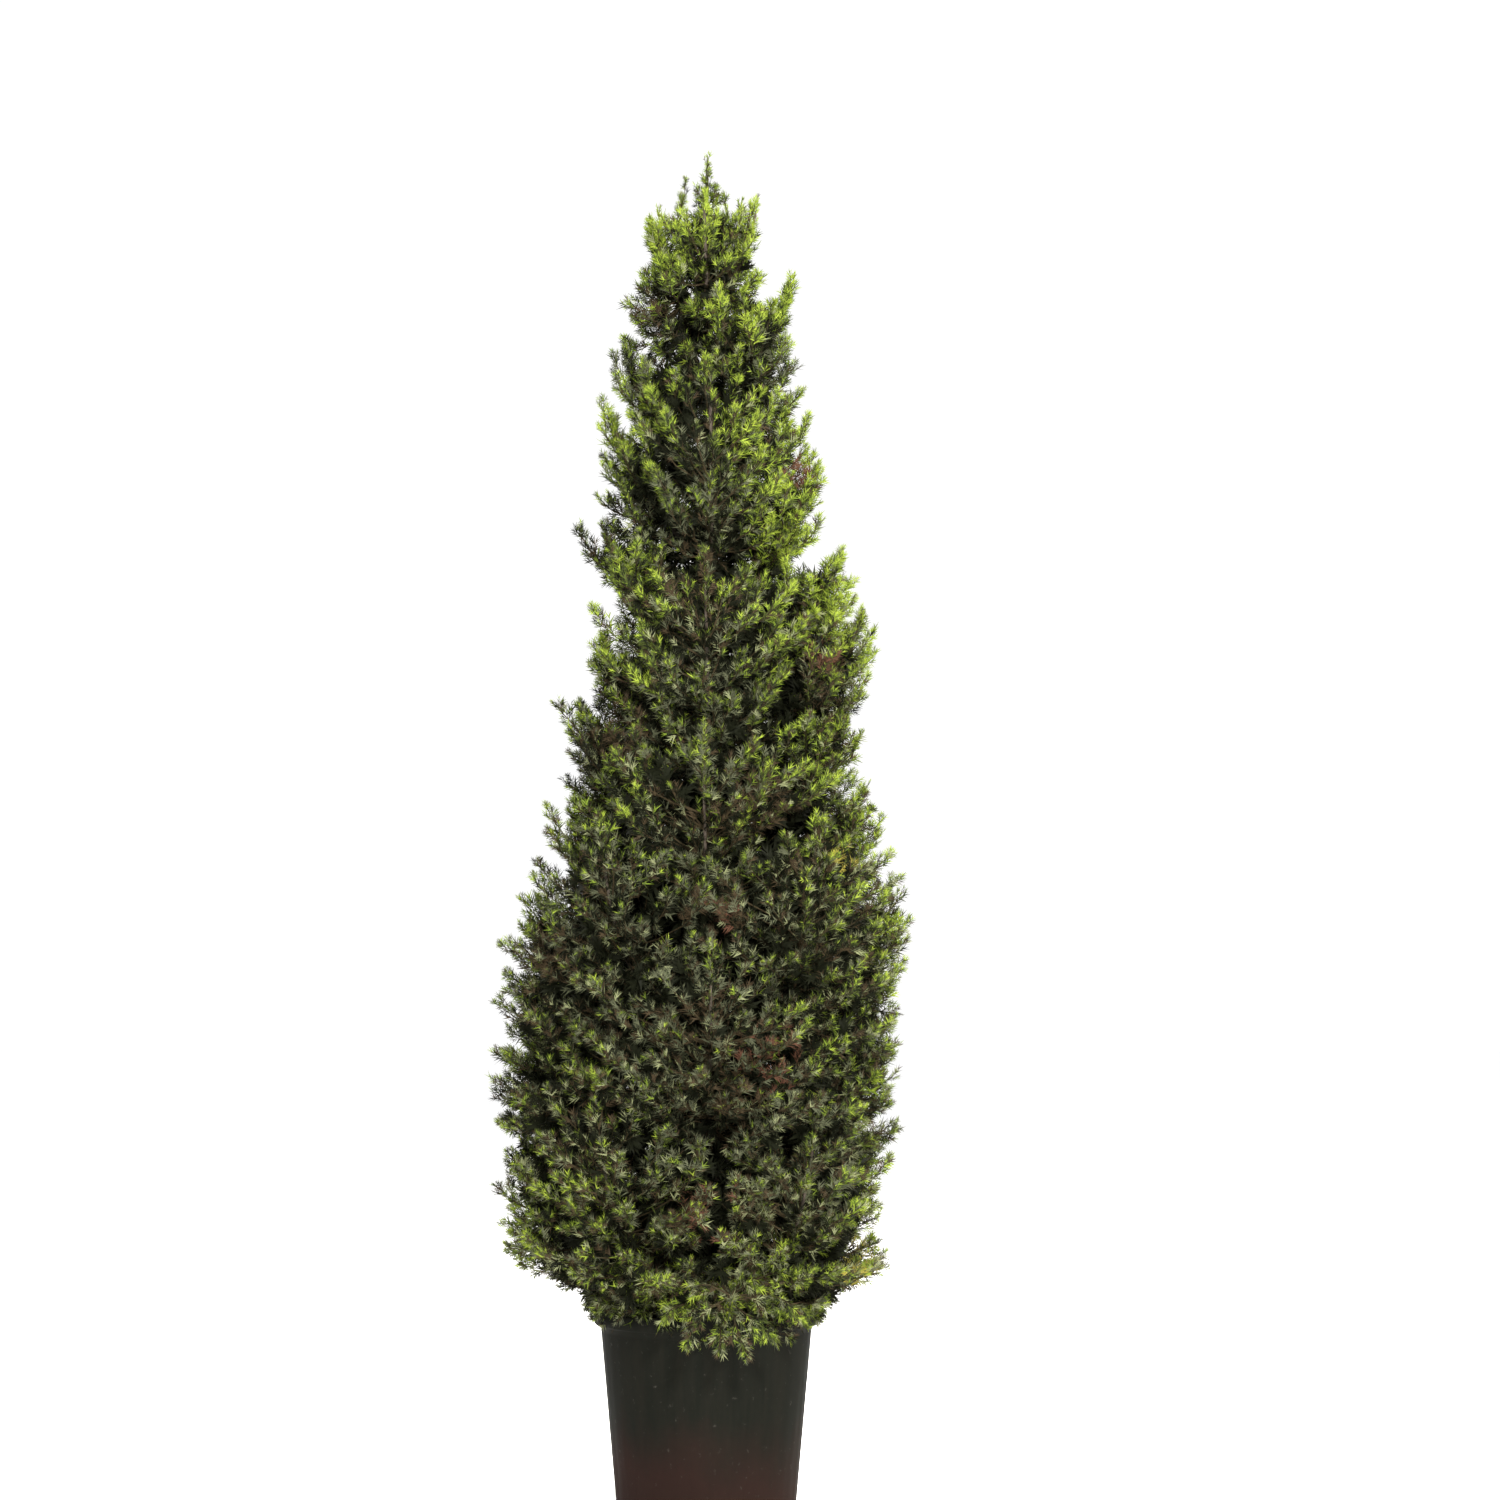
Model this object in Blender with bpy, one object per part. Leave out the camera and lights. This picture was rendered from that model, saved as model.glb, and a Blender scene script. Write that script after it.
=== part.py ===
"""A Leyland cypress in a nursery pot: pot, compost, trunk, boughs and masses of foliage. Metres, +Z up.

+X is the viewer's right and -Y faces the viewer. The origin is the centre of the pot's flat underside.
"""

import math
from collections import namedtuple
from functools import lru_cache

import bmesh
import bpy
import numpy as np
from mathutils import Vector
from mathutils.bvhtree import BVHTree

UP = Vector((0, 0, 1))
GOLDEN_ANGLE = math.pi * (3 - math.sqrt(5))

# Pot: a tapered round container with a turned-out lip
POT_HEIGHT = 0.360
POT_BASE_RADIUS = 0.161
POT_TOP_RADIUS = 0.1935
POT_LIP_WIDTH = 0.009
POT_LIP_HEIGHT = 0.026
POT_WALL = 0.003
POT_FLOOR = 0.004
POT_SIDES = 36

# Compost: fills the pot to a little under its rim, and heaps slightly towards the trunk
COMPOST_LEVEL = 0.318
COMPOST_HEAP = 0.010
COMPOST_HALFWAY_HEAP = 0.007
COMPOST_FLAT_RADIUS = 0.055

# Trunk: one leader with a slight bow and a root flare, from the compost up through the whole crown
TRUNK_TOP = 2.300
TRUNK_FOOT_RADIUS = 0.0205
TRUNK_TIP_RADIUS = 0.0032
TRUNK_FLARE = 0.013
TRUNK_FLARE_HEIGHT = 0.035
TRUNK_FLARE_LOBES = 5
TRUNK_BOW_RIGHT = 0.012
TRUNK_BOW_BACK = 0.007
TRUNK_SIDES = 12
TRUNK_RINGS = 15
TRUNK_RING_CROWDING = 1.7

# The gap where pieces meet, and the wider one that foliage keeps from everything else
SEAT_GAP = 0.0003
SPACE_GAP = 0.0014

# Boughs and stems
BOUGH_ROOT_RADIUS = 0.0080
BOUGH_TIP_RADIUS = 0.0052
STEM_ROOT_RADIUS = 0.0050
STEM_TIP_RADIUS = 0.0026
BOUGH_SIDES = 6
BOUGH_RINGS = 4
BOUGH_ENDS = 0.25
STEM_SIDES = 5
STEM_RINGS = 5
STEM_ENDS = 0.80
ROOT_PROBES = 24
ROOT_PROBE_RINGS = (0.3, 0.6, 1.0)
ROOT_PROBE_DISTANCE = 0.10

# A mass's core, an uneven body that fills most of the mass's space but is thin towards the trunk
CORE_OUT = 0.25
CORE_BACK = 0.060
CORE_BACK_PER_REACH = 0.240
CORE_TAIL_ENDS = 0.12
CORE_TAIL_CLEAR_OF_BOUGH = 0.04
CORE_TAIL_ANGLE = math.radians(60)
CORE_LEAST = 0.76
CORE_MOST = 0.98
CORE_SIZES = (1, 0.93, 0.86, 0.79, 0.72, 0.64, 0.55, 0.4)

# Twigs and sprays. A spray is a toothed blade, given as (along, across) points on one side of its midrib
LOW_SPRAYS = 8
HIGH_SPRAYS = 7
TWIG_RADIUS = 0.0026
TWIG_DROP = 0.10
TWIG_FEET = np.linspace(0.50, 0.78, 8)
FRILL_LOWEST = math.radians(-35)
FRILL_PLAY = 0.12
MIDDLE_SPREAD = 0.2
SPRAY_TEETH = ((0.44, 0.32), (0.54, 0.15), (0.76, 0.25))
SPRAY_LENGTH = 0.100
SPRAY_LENGTH_PER_REACH = 0.120
SPRAY_WIDTHS = (1.15, 0.9, 0.7, 0.5)
SPRAY_HUB = 0.42
SPRAY_THICKNESS = 0.045
SPRAY_CURL = 0.12

# Which way each mass faces, in degrees from +X towards the back
FACES = {
    "right": 0,
    "back_right": 54,
    "back": 90,
    "back_left": 126,
    "left": 180,
    "front_left": 234,
    "front": 270,
    "front_right": 306,
}
TWO_IN_FRONT = ("right", "back", "left", "front_left", "front_right")
TWO_BEHIND = ("right", "back_right", "back_left", "left", "front")
FOUR_ROUND = ("right", "back", "left", "front")
SIDES_ONLY = ("right", "left")

# The tiers of the crown from the ground up, with the tips and reaches that its outline shows on each side
Tier = namedtuple("Tier", "faces tip_left tip_right reach_left reach_right rise bough")
TIERS = (
    Tier(TWO_IN_FRONT, 0.690, 0.640, 0.398, 0.338, 20, True),
    Tier(TWO_BEHIND, 0.950, 0.900, 0.396, 0.370, 28, True),
    Tier(TWO_IN_FRONT, 1.120, 1.135, 0.372, 0.374, 34, True),
    Tier(FOUR_ROUND, 1.276, 1.320, 0.306, 0.324, 40, False),
    Tier(SIDES_ONLY, 1.470, 1.500, 0.282, 0.300, 44, False),
    Tier(FOUR_ROUND, 1.597, 1.640, 0.236, 0.318, 46, False),
    Tier(SIDES_ONLY, 1.800, 1.750, 0.236, 0.274, 48, False),
    Tier(FOUR_ROUND, 2.000, 1.910, 0.210, 0.228, 50, False),
    Tier(SIDES_ONLY, 2.125, 2.240, 0.182, 0.174, 52, False),
    Tier(FOUR_ROUND, 2.370, 2.405, 0.124, 0.108, 56, False),
)
CENTRE_REACH = 0.60
CENTRE_DEPTH = 0.090
CENTRE_DEPTH_PER_REACH = 0.26
TIP_REACH = 0.88
FREE_TIP_RISE = 0.13
TURN_PLAY = 0.08
REACH_PLAY = (0.95, 1.03)
HEIGHT_PLAY = (-0.02, 0.03)
SPACE_SLOPE = 0.60
SPACE_LIFT = 0.13
SPACE_LIFT_HEIGHT = 0.10
SPACE_BELOW_START = 0.10
SPACE_CORNER = math.radians(32)
SPACE_FILLED = 0.96

# The leader above the trunk's tip
LEADER_TIP = 2.478
LEADER_CENTRE = 2.425
LEADER_REACH = 0.060
LEADER_TAPER = 0.50
LEADER_TIP_RADIUS = 0.012
LEADER_PLANES = 8
LEADER_SPRAYS = 5
LEADER_SEED = 31

# The foliage that hangs over the pot's rim in front
SKIRT_AZIMUTH = math.radians(280)
SKIRT_ROOT = 0.352
SKIRT_CENTRE_REACH = 0.225
SKIRT_CENTRE = 0.385
SKIRT_REACH = 0.290
SKIRT_FOOT = 0.262
SKIRT_TOP = 0.420
SKIRT_SPRAYS = 8
SKIRT_SEED = 57


class Mass:
    """One mass of foliage: where it faces, the line of its stem and the sizes of its space."""

    def __init__(self, name, facing, centre, reach, tip, start, bough, sprays, seed):
        self.name = name
        self.facing = facing
        self.centre = centre
        self.reach = reach
        self.tip = tip
        self.start = start
        self.bough = bough
        self.sprays = sprays
        self.random = np.random.default_rng(seed)
        self.top = tip.z
        self.droops = False
        self.normals = None
        self.limits = None

    def bend(self):
        """The middle point that takes the stem's curve through the centre of the mass."""
        return 2 * self.centre - (self.start + self.tip) / 2

    def point(self, share):
        """A point on the stem's line, from the trunk at 0 to the mass's tip at 1."""
        first = self.start * (1 - share) ** 2
        return first + self.bend() * 2 * share * (1 - share) + self.tip * share**2

    def along(self, share):
        first = (self.bend() - self.start) * (1 - share)
        return (first + (self.tip - self.bend()) * share).normalized()

    def sideways(self):
        side = self.facing.cross(UP)
        return side.normalized() if side.length > 0 else Vector((1, 0, 0))

    def holds(self, points):
        """Whether every point lies in the mass's own space, which is convex."""
        return bool((np.array(points) @ self.normals.T <= self.limits).all())

    def way_out(self, point, along):
        """How far the space goes on from a point in a direction."""
        room = self.limits - self.normals @ np.array(point)
        speed = self.normals @ np.array(along)
        ahead = speed > 1e-9
        return float((room[ahead] / speed[ahead]).min())


def clear_scene():
    for obj in list(bpy.data.objects):
        bpy.data.objects.remove(obj)


def material(name, colour, roughness):
    made = bpy.data.materials.new(name)
    made.use_nodes = True
    shader = made.node_tree.nodes["Principled BSDF"]
    shader.inputs["Base Color"].default_value = (*colour, 1)
    shader.inputs["Roughness"].default_value = roughness
    shader.inputs["Metallic"].default_value = 0
    return made


def new_object(name, bm, finish):
    """A mesh object from bm, with its faces turned outwards."""
    bmesh.ops.recalc_face_normals(bm, faces=bm.faces)
    mesh = bpy.data.meshes.new(name)
    bm.to_mesh(mesh)
    bm.free()
    obj = bpy.data.objects.new(name, mesh)
    bpy.context.scene.collection.objects.link(obj)
    obj.data.materials.append(finish)
    return obj


def smooth(obj, degrees):
    obj.data.shade_smooth()
    obj.data.set_sharp_from_angle(angle=math.radians(degrees))


def turned(name, profile, finish):
    """A round solid from (radius, height) points, spun about Z and capped where the profile ends."""
    bm = bmesh.new()
    points = [bm.verts.new((radius, 0, height)) for radius, height in profile]
    edges = [bm.edges.new(pair) for pair in zip(points, points[1:])]
    whole_turn = {"axis": UP, "cent": (0, 0, 0), "steps": POT_SIDES, "angle": 2 * math.pi, "use_merge": True}
    bmesh.ops.spin(bm, geom=points + edges, **whole_turn)
    bmesh.ops.holes_fill(bm, edges=bm.edges, sides=0)
    smooth(new_object(name, bm, finish), 40)


def pot_outside(height):
    return POT_BASE_RADIUS + (POT_TOP_RADIUS - POT_BASE_RADIUS) * height / POT_HEIGHT


def pot_inside(height):
    return pot_outside(height) - POT_WALL


def lip_radius():
    return POT_TOP_RADIUS + POT_LIP_WIDTH


def make_pot(finish):
    under_lip = POT_HEIGHT - POT_LIP_HEIGHT
    profile = (
        (POT_BASE_RADIUS, 0),
        (pot_outside(under_lip), under_lip),
        (lip_radius(), under_lip),
        (lip_radius(), POT_HEIGHT),
        (pot_inside(POT_HEIGHT), POT_HEIGHT),
        (pot_inside(POT_FLOOR), POT_FLOOR),
    )
    turned("pot", profile, finish)


def make_compost(finish):
    bottom = POT_FLOOR + SEAT_GAP
    edge = pot_inside(COMPOST_LEVEL) - SEAT_GAP
    profile = (
        (pot_inside(bottom) - SEAT_GAP, bottom),
        (edge, COMPOST_LEVEL),
        ((edge + COMPOST_FLAT_RADIUS) / 2, COMPOST_LEVEL + COMPOST_HALFWAY_HEAP),
        (COMPOST_FLAT_RADIUS, COMPOST_LEVEL + COMPOST_HEAP),
    )
    turned("compost", profile, finish)


def trunk_foot():
    return COMPOST_LEVEL + COMPOST_HEAP + SEAT_GAP


def trunk_heights():
    """The heights of the trunk's rings, which lie closer together in the root flare."""
    length = TRUNK_TOP - trunk_foot()
    return trunk_foot() + length * (np.arange(TRUNK_RINGS) / (TRUNK_RINGS - 1)) ** TRUNK_RING_CROWDING


def trunk_shape():
    """For each ring of the trunk: its height, how far it bows right and back, its flare and its radius."""
    heights = trunk_heights()
    rise = (heights - trunk_foot()) / (TRUNK_TOP - trunk_foot())
    right = TRUNK_BOW_RIGHT * np.sin(math.pi * rise)
    back = TRUNK_BOW_BACK * np.sin(2 * math.pi * rise)
    flare = TRUNK_FLARE * np.exp(-(heights - trunk_foot()) / TRUNK_FLARE_HEIGHT)
    radius = TRUNK_FOOT_RADIUS + (TRUNK_TIP_RADIUS - TRUNK_FOOT_RADIUS) * rise + flare
    return heights, right, back, flare, radius


def trunk_centre(height):
    heights, right, back, flare, radius = trunk_shape()
    return Vector((np.interp(height, heights, right), np.interp(height, heights, back), height))


def trunk_radius(height):
    heights, right, back, flare, radius = trunk_shape()
    return float(np.interp(height, heights, radius))


def join_rings(bm, rings):
    """A closed solid through rings of points. A ring of one point closes an end, or else a flat cap does."""
    made = [[bm.verts.new(point) for point in ring] for ring in rings]
    for low, high in zip(made, made[1:]):
        sides = max(len(low), len(high))
        for i in range(sides):
            j = (i + 1) % sides
            corners = (low[i % len(low)], low[j % len(low)], high[j % len(high)], high[i % len(high)])
            bm.faces.new(dict.fromkeys(corners))
    for end in (made[0], made[-1]):
        if len(end) > 1:
            bm.faces.new(end)


def trunk_rings():
    """Rings up the trunk. In the root flare the radius swells and shrinks round the lobes."""
    rings = []
    for height, right, back, flare, radius in zip(*trunk_shape()):
        ring = []
        for side in range(TRUNK_SIDES):
            turn = 2 * math.pi * side / TRUNK_SIDES
            hollow = flare / 3 * (1 - math.cos(TRUNK_FLARE_LOBES * turn))
            ring.append(Vector((right, back, height)) + direction(turn) * float(radius - hollow))
        rings.append(ring)
    return rings


def make_trunk(finish):
    bm = bmesh.new()
    join_rings(bm, trunk_rings())
    smooth(new_object("trunk", bm, finish), 60)


@lru_cache
def trunk_surface():
    """The trunk's faces, for measuring how far out they reach."""
    return tree_of([solid_faces(trunk_rings())])


def direction(azimuth):
    return Vector((math.cos(azimuth), math.sin(azimuth), 0))


def ring_round(centre, along, radius, sides):
    """Points round centre, square to along."""
    across = along.cross(UP if abs(along.z) < 0.9 else Vector((1, 0, 0))).normalized()
    other = along.cross(across)
    turns = [2 * math.pi * i / sides for i in range(sides)]
    return [centre + radius * (math.cos(turn) * across + math.sin(turn) * other) for turn in turns]


def between(left, right, azimuth):
    """A size that is left at 180 degrees and right at 0, and changes smoothly between them."""
    return (left + right) / 2 + (right - left) / 2 * math.cos(azimuth)


def limb_start(height, facing, radius):
    """Where a limb of a radius starts: just clear of all of the trunk's side that its root stands against."""
    middle = trunk_centre(height)
    farthest = 0
    for share in ROOT_PROBE_RINGS:
        for point in ring_round(middle, facing, share * radius, ROOT_PROBES):
            hit = trunk_surface().ray_cast(point + facing * ROOT_PROBE_DISTANCE, -facing)[0]
            if hit:
                farthest = max(farthest, (hit - middle).dot(facing))
    return middle + facing * (farthest + SEAT_GAP)


def tier_mass(level, place, tier):
    """The mass that faces one way in a tier. The left and right ones make the outline and have no play."""
    face = tier.faces[place]
    random = np.random.default_rng(100 * level + place)
    azimuth = math.radians(FACES[face])
    reach = between(tier.reach_left, tier.reach_right, azimuth)
    height = between(tier.tip_left, tier.tip_right, azimuth)
    if face not in SIDES_ONLY:
        azimuth += random.uniform(-TURN_PLAY, TURN_PLAY)
        reach *= random.uniform(*REACH_PLAY)
        height += random.uniform(*HEIGHT_PLAY)
    facing = direction(azimuth)
    middle = height - CENTRE_DEPTH - CENTRE_DEPTH_PER_REACH * reach
    centre = trunk_centre(middle) + facing * CENTRE_REACH * reach
    root_height = middle - CENTRE_REACH * reach * math.tan(math.radians(tier.rise))
    start = limb_start(root_height, facing, BOUGH_ROOT_RADIUS if tier.bough else STEM_ROOT_RADIUS)
    tip = trunk_centre(height) + facing * TIP_REACH * reach
    sprays = LOW_SPRAYS if tier.bough else HIGH_SPRAYS
    seed = 1000 + 100 * level + place
    mass = Mass(f"foliage_{level}_{face}", facing, centre, reach, tip, start, tier.bough, sprays, seed)
    if face not in SIDES_ONLY and level < len(TIERS):
        mass.top += FREE_TIP_RISE
    return mass


def leader_mass():
    start = trunk_centre(TRUNK_TOP) + UP * SEAT_GAP
    centre = trunk_centre(LEADER_CENTRE)
    tip = trunk_centre(LEADER_TIP)
    facing = Vector((0, 0, 0))
    return Mass("foliage_leader", facing, centre, LEADER_REACH, tip, start, False, LEADER_SPRAYS, LEADER_SEED)


def skirt_mass():
    """It starts outside the pot's rim, at the end of a bough that crosses the rim."""
    facing = direction(SKIRT_AZIMUTH)
    start = limb_start(SKIRT_ROOT, facing, BOUGH_ROOT_RADIUS)
    centre = facing * SKIRT_CENTRE_REACH + UP * SKIRT_CENTRE
    tip = facing * SKIRT_REACH * TIP_REACH + UP * SKIRT_FOOT
    skirt = Mass("foliage_skirt", facing, centre, SKIRT_REACH, tip, start, True, SKIRT_SPRAYS, SKIRT_SEED)
    skirt.top = SKIRT_TOP
    skirt.droops = True
    return skirt


def plan_masses():
    masses = []
    for level, tier in enumerate(TIERS, 1):
        for place in range(len(tier.faces)):
            masses.append(tier_mass(level, place, tier))
    return masses + [leader_mass(), skirt_mass()]


def space_planes(mass, masses):
    """The planes round a mass's own space, each an outward normal and how far along it the space reaches.

    Neighbours share a plane between their centres. It lies nearer to the upper one and rises outwards as
    boughs do.
    """
    planes = []
    for other in masses:
        if other is mass:
            continue
        across = other.centre - mass.centre
        outward = (mass.facing + other.facing) / 2
        normal = (across - SPACE_SLOPE * across.z * outward).normalized()
        share = 0.5 + SPACE_LIFT * math.tanh(across.z / SPACE_LIFT_HEIGHT)
        middle = mass.centre + across * share
        planes.append((normal, normal.dot(middle) - SPACE_GAP / 2))
    planes.append((UP, mass.top))
    if mass.facing.length == 0:
        planes.append((-UP, -(TRUNK_TOP + SPACE_GAP)))
        for i in range(LEADER_PLANES):
            outward = direction(2 * math.pi * i / LEADER_PLANES)
            sloping = (outward + LEADER_TAPER * UP).normalized()
            planes.append((outward, mass.centre.dot(outward) + mass.reach))
            planes.append((sloping, sloping.dot(mass.tip + outward * LEADER_TIP_RADIUS)))
        return planes
    for turn in (-SPACE_CORNER, 0, SPACE_CORNER):
        outward = (direction(turn).x * mass.facing + direction(turn).y * mass.sideways()).normalized()
        planes.append((outward, mass.reach + trunk_centre(mass.centre.z).dot(outward)))
    lowest = mass.start.z - SPACE_BELOW_START
    heights = (lowest, mass.start.z, mass.tip.z)
    nearest = max(trunk_centre(height).dot(mass.facing) + trunk_radius(height) for height in heights)
    planes.append((-mass.facing, -(nearest + SPACE_GAP)))
    planes.append((-UP, -lowest if not mass.droops else -SKIRT_FOOT))
    rim = mass.facing * (lip_radius() + SPACE_GAP) + UP * (POT_HEIGHT + SPACE_GAP)
    if mass.droops:
        planes.append((-mass.facing, -(lip_radius() + SPACE_GAP)))
    else:
        over_rim = -(mass.facing * SPACE_SLOPE + UP).normalized()
        planes.append((over_rim, over_rim.dot(rim)))
    return planes


def settle_spaces(masses):
    """Give each mass its space, and move the tips that the outline leaves free up to the top of theirs."""
    for mass in masses:
        planes = space_planes(mass, masses)
        mass.normals = np.array([normal for normal, limit in planes])
        mass.limits = np.array([limit for normal, limit in planes])
    for mass in masses:
        if mass.top > mass.tip.z:
            mass.tip.z += SPACE_FILLED * max(0, mass.way_out(mass.tip, UP))
        inside = min(1, SPACE_FILLED * mass.way_out(mass.centre, mass.tip - mass.centre))
        mass.tip = mass.centre + (mass.tip - mass.centre) * inside


def limb_rings(mass, first, last, root_radius, tip_radius, sides, count):
    """Rings along a mass's line. The one at the trunk is turned to stand flat against it."""
    rings = []
    for i in range(count):
        share = first + (last - first) * i / (count - 1)
        radius = root_radius + (tip_radius - root_radius) * i / (count - 1)
        rings.append(ring_round(mass.point(share), mass.along(share), radius, sides))
    if first == 0:
        square = mass.facing if mass.facing.length else UP
        rings[0] = [point + (mass.start - point).project(square) for point in rings[0]]
    return rings


def bough_rings(mass, extra):
    """A bough from the trunk to where its mass's stem begins, made thicker by extra."""
    root = BOUGH_ROOT_RADIUS + extra
    tip = BOUGH_TIP_RADIUS + extra
    return limb_rings(mass, 0, BOUGH_ENDS, root, tip, BOUGH_SIDES, BOUGH_RINGS)


def stem_start(mass):
    """The share of the line at which the stem starts, just clear of the bough's tip or of the trunk."""
    if not mass.bough:
        return 0
    step = (mass.point(BOUGH_ENDS + 0.01) - mass.point(BOUGH_ENDS)).length / 0.01
    return BOUGH_ENDS + SEAT_GAP / step


def stem_rings(mass, extra):
    root = (STEM_ROOT_RADIUS if mass.facing.length else TRUNK_TIP_RADIUS) + extra
    tip = STEM_TIP_RADIUS + extra
    rings = STEM_RINGS - 1 if mass.bough else STEM_RINGS
    return limb_rings(mass, stem_start(mass), STEM_ENDS, root, tip, STEM_SIDES, rings)


def make_bough(mass, finish):
    bm = bmesh.new()
    join_rings(bm, bough_rings(mass, 0))
    smooth(new_object(mass.name.replace("foliage", "bough"), bm, finish), 60)


def solid_faces(rings):
    """Lists of points and of faces for the solid through rings."""
    bm = bmesh.new()
    join_rings(bm, rings)
    return lists_of(bm)


def lists_of(bm):
    """The points and faces of bm as lists, with bm freed."""
    bm.verts.index_update()
    points = [vertex.co.copy() for vertex in bm.verts]
    faces = [[vertex.index for vertex in face.verts] for face in bm.faces]
    bm.free()
    return points, faces


def tree_of(solids):
    points = []
    faces = []
    for more_points, more_faces in solids:
        faces += [[index + len(points) for index in face] for face in more_faces]
        points += more_points
    return BVHTree.FromPolygons(points, faces)


def limbs_to_avoid(mass, masses):
    """Every bough and every other mass's stem, each with the foliage's gap round it."""
    solids = []
    for other in masses:
        if other.bough:
            solids.append(solid_faces(bough_rings(other, SPACE_GAP)))
        if other is not mass:
            solids.append(solid_faces(stem_rings(other, SPACE_GAP)))
    return tree_of(solids)


def core_solid(mass, size):
    """A closed body round a middle point of the space, uneven so that its corners read as small tufts.

    It tapers back along the stem in a tail.
    """
    middle = mass.centre.copy()
    if mass.facing.length:
        middle += mass.facing * CORE_OUT * mass.way_out(middle, mass.facing)
    tail = mass.point(BOUGH_ENDS + CORE_TAIL_CLEAR_OF_BOUGH if mass.bough else CORE_TAIL_ENDS) - middle
    back = CORE_BACK + CORE_BACK_PER_REACH * mass.reach
    edge = math.cos(CORE_TAIL_ANGLE)
    bm = bmesh.new()
    bmesh.ops.create_icosphere(bm, subdivisions=2, radius=1)
    for vertex in bm.verts:
        way = vertex.co.normalized()
        room = mass.way_out(middle, way)
        inwards = -way.dot(mass.facing)
        if inwards > 0:
            taper = max(0, (way.dot(tail.normalized()) - edge) / (1 - edge))
            room = min(room, max(back / inwards, tail.length * taper))
        vertex.co = middle + way * room * size * mass.random.uniform(CORE_LEAST, CORE_MOST)
    return lists_of(bm)


def spray(root, tip, flat_side, width, curl):
    """A toothed blade from root to tip, thickest at its hub, that curls to one side towards its tip."""
    length = (tip - root).length
    along = (tip - root).normalized()
    across = along.cross(flat_side).normalized()
    thick = across.cross(along)
    left = [(0, 0), *SPRAY_TEETH, (1, 0)]
    right = [(along_share, -across_share) for along_share, across_share in reversed(SPRAY_TEETH)]
    outline = []
    for x, y in left + right:
        bowed = curl * x * (1 - x)
        outline.append(root + length * (x * along + width * y * across + bowed * thick))
    hub = root + length * (SPRAY_HUB * along + curl * SPRAY_HUB * (1 - SPRAY_HUB) * thick)
    half = length * SPRAY_THICKNESS / 2
    points = outline + [hub + half * thick, hub - half * thick]
    count = len(outline)
    faces = []
    for i in range(count):
        j = (i + 1) % count
        faces.append((i, j, count))
        faces.append((j, i, count + 1))
    return points, faces


def outer_places(mass):
    """Points on the outer face of a mass's space: one in its middle and the others round it."""
    if mass.facing.length == 0:
        return leader_places(mass)
    middle = mass.centre + mass.facing * mass.way_out(mass.centre, mass.facing) * SPACE_FILLED
    side = mass.sideways()
    rise = -UP if mass.droops else UP
    places = []
    for i in range(mass.sprays):
        turn = FRILL_LOWEST + (math.pi - 2 * FRILL_LOWEST) * i / (mass.sprays - 1)
        turn += mass.random.uniform(-FRILL_PLAY, FRILL_PLAY)
        way = math.cos(turn) * side + math.sin(turn) * rise
        spread = MIDDLE_SPREAD if i == mass.sprays // 2 else SPACE_FILLED
        place = middle + way * spread * mass.way_out(middle, way)
        place += mass.facing * SPACE_FILLED * mass.way_out(place, mass.facing)
        places.append(place)
    return places


def leader_places(mass):
    """Points up the leader that wind round it and draw in towards its tip."""
    places = []
    for i in range(mass.sprays):
        share = (i + 1) / (mass.sprays + 1)
        height = mass.centre.z + (mass.tip.z - mass.centre.z) * share
        outward = direction(math.pi + i * GOLDEN_ANGLE)
        places.append(trunk_centre(height) + outward * mass.reach * (1 - LEADER_TAPER * share))
    return places


def twig_foot(mass, place):
    """Where on the stem the twig to a place leaves: nearest to a point below it, so that the twig rises."""
    below = place + UP * TWIG_DROP if mass.droops else place - UP * TWIG_DROP
    feet = [mass.point(share) for share in TWIG_FEET]
    return min(feet, key=lambda foot: (foot - below).length)


def twig_and_spray(mass, place, number, core, avoid):
    """The spray that ends at a place. It is rooted in the core, or on a twig where the core is too far.

    It is made narrower until it fits, or else left out.
    """
    foot = twig_foot(mass, place)
    heading = (place - foot).normalized()
    length = min(SPRAY_LENGTH + SPRAY_LENGTH_PER_REACH * mass.reach, (place - foot).length)
    root = place - heading * length
    outward = (place - mass.point(0.5)).normalized()
    turn = (number + 0.5) * GOLDEN_ANGLE
    flat_side = (math.cos(turn) * outward + math.sin(turn) * heading.cross(outward)).normalized()
    curl = SPRAY_CURL * mass.random.uniform(-1, 1)
    for width in SPRAY_WIDTHS:
        solids = [spray(root, place, flat_side, width, curl)]
        if not tree_of(solids).overlap(core):
            twig_end = root + heading * SPRAY_HUB * length
            ends = ((foot, 1.2), ((foot + twig_end) / 2, 1.0), (twig_end, 0.6))
            rings = [ring_round(point, heading, share * TWIG_RADIUS, 3) for point, share in ends]
            solids.append(solid_faces(rings))
        if all(mass.holds(points) for points, faces in solids) and not tree_of(solids).overlap(avoid):
            return solids
    return []


def tip_spray(mass, avoid):
    """The spray that ends the stem at the mass's tip. It stands upright, to show in the outline."""
    root = mass.tip - mass.along(0.95) * (SPRAY_LENGTH + SPRAY_LENGTH_PER_REACH * mass.reach)
    for width in SPRAY_WIDTHS:
        solid = spray(root, mass.tip, mass.sideways(), width, 0)
        if mass.holds(solid[0]) and not tree_of([solid]).overlap(avoid):
            return [solid]
    return []


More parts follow.
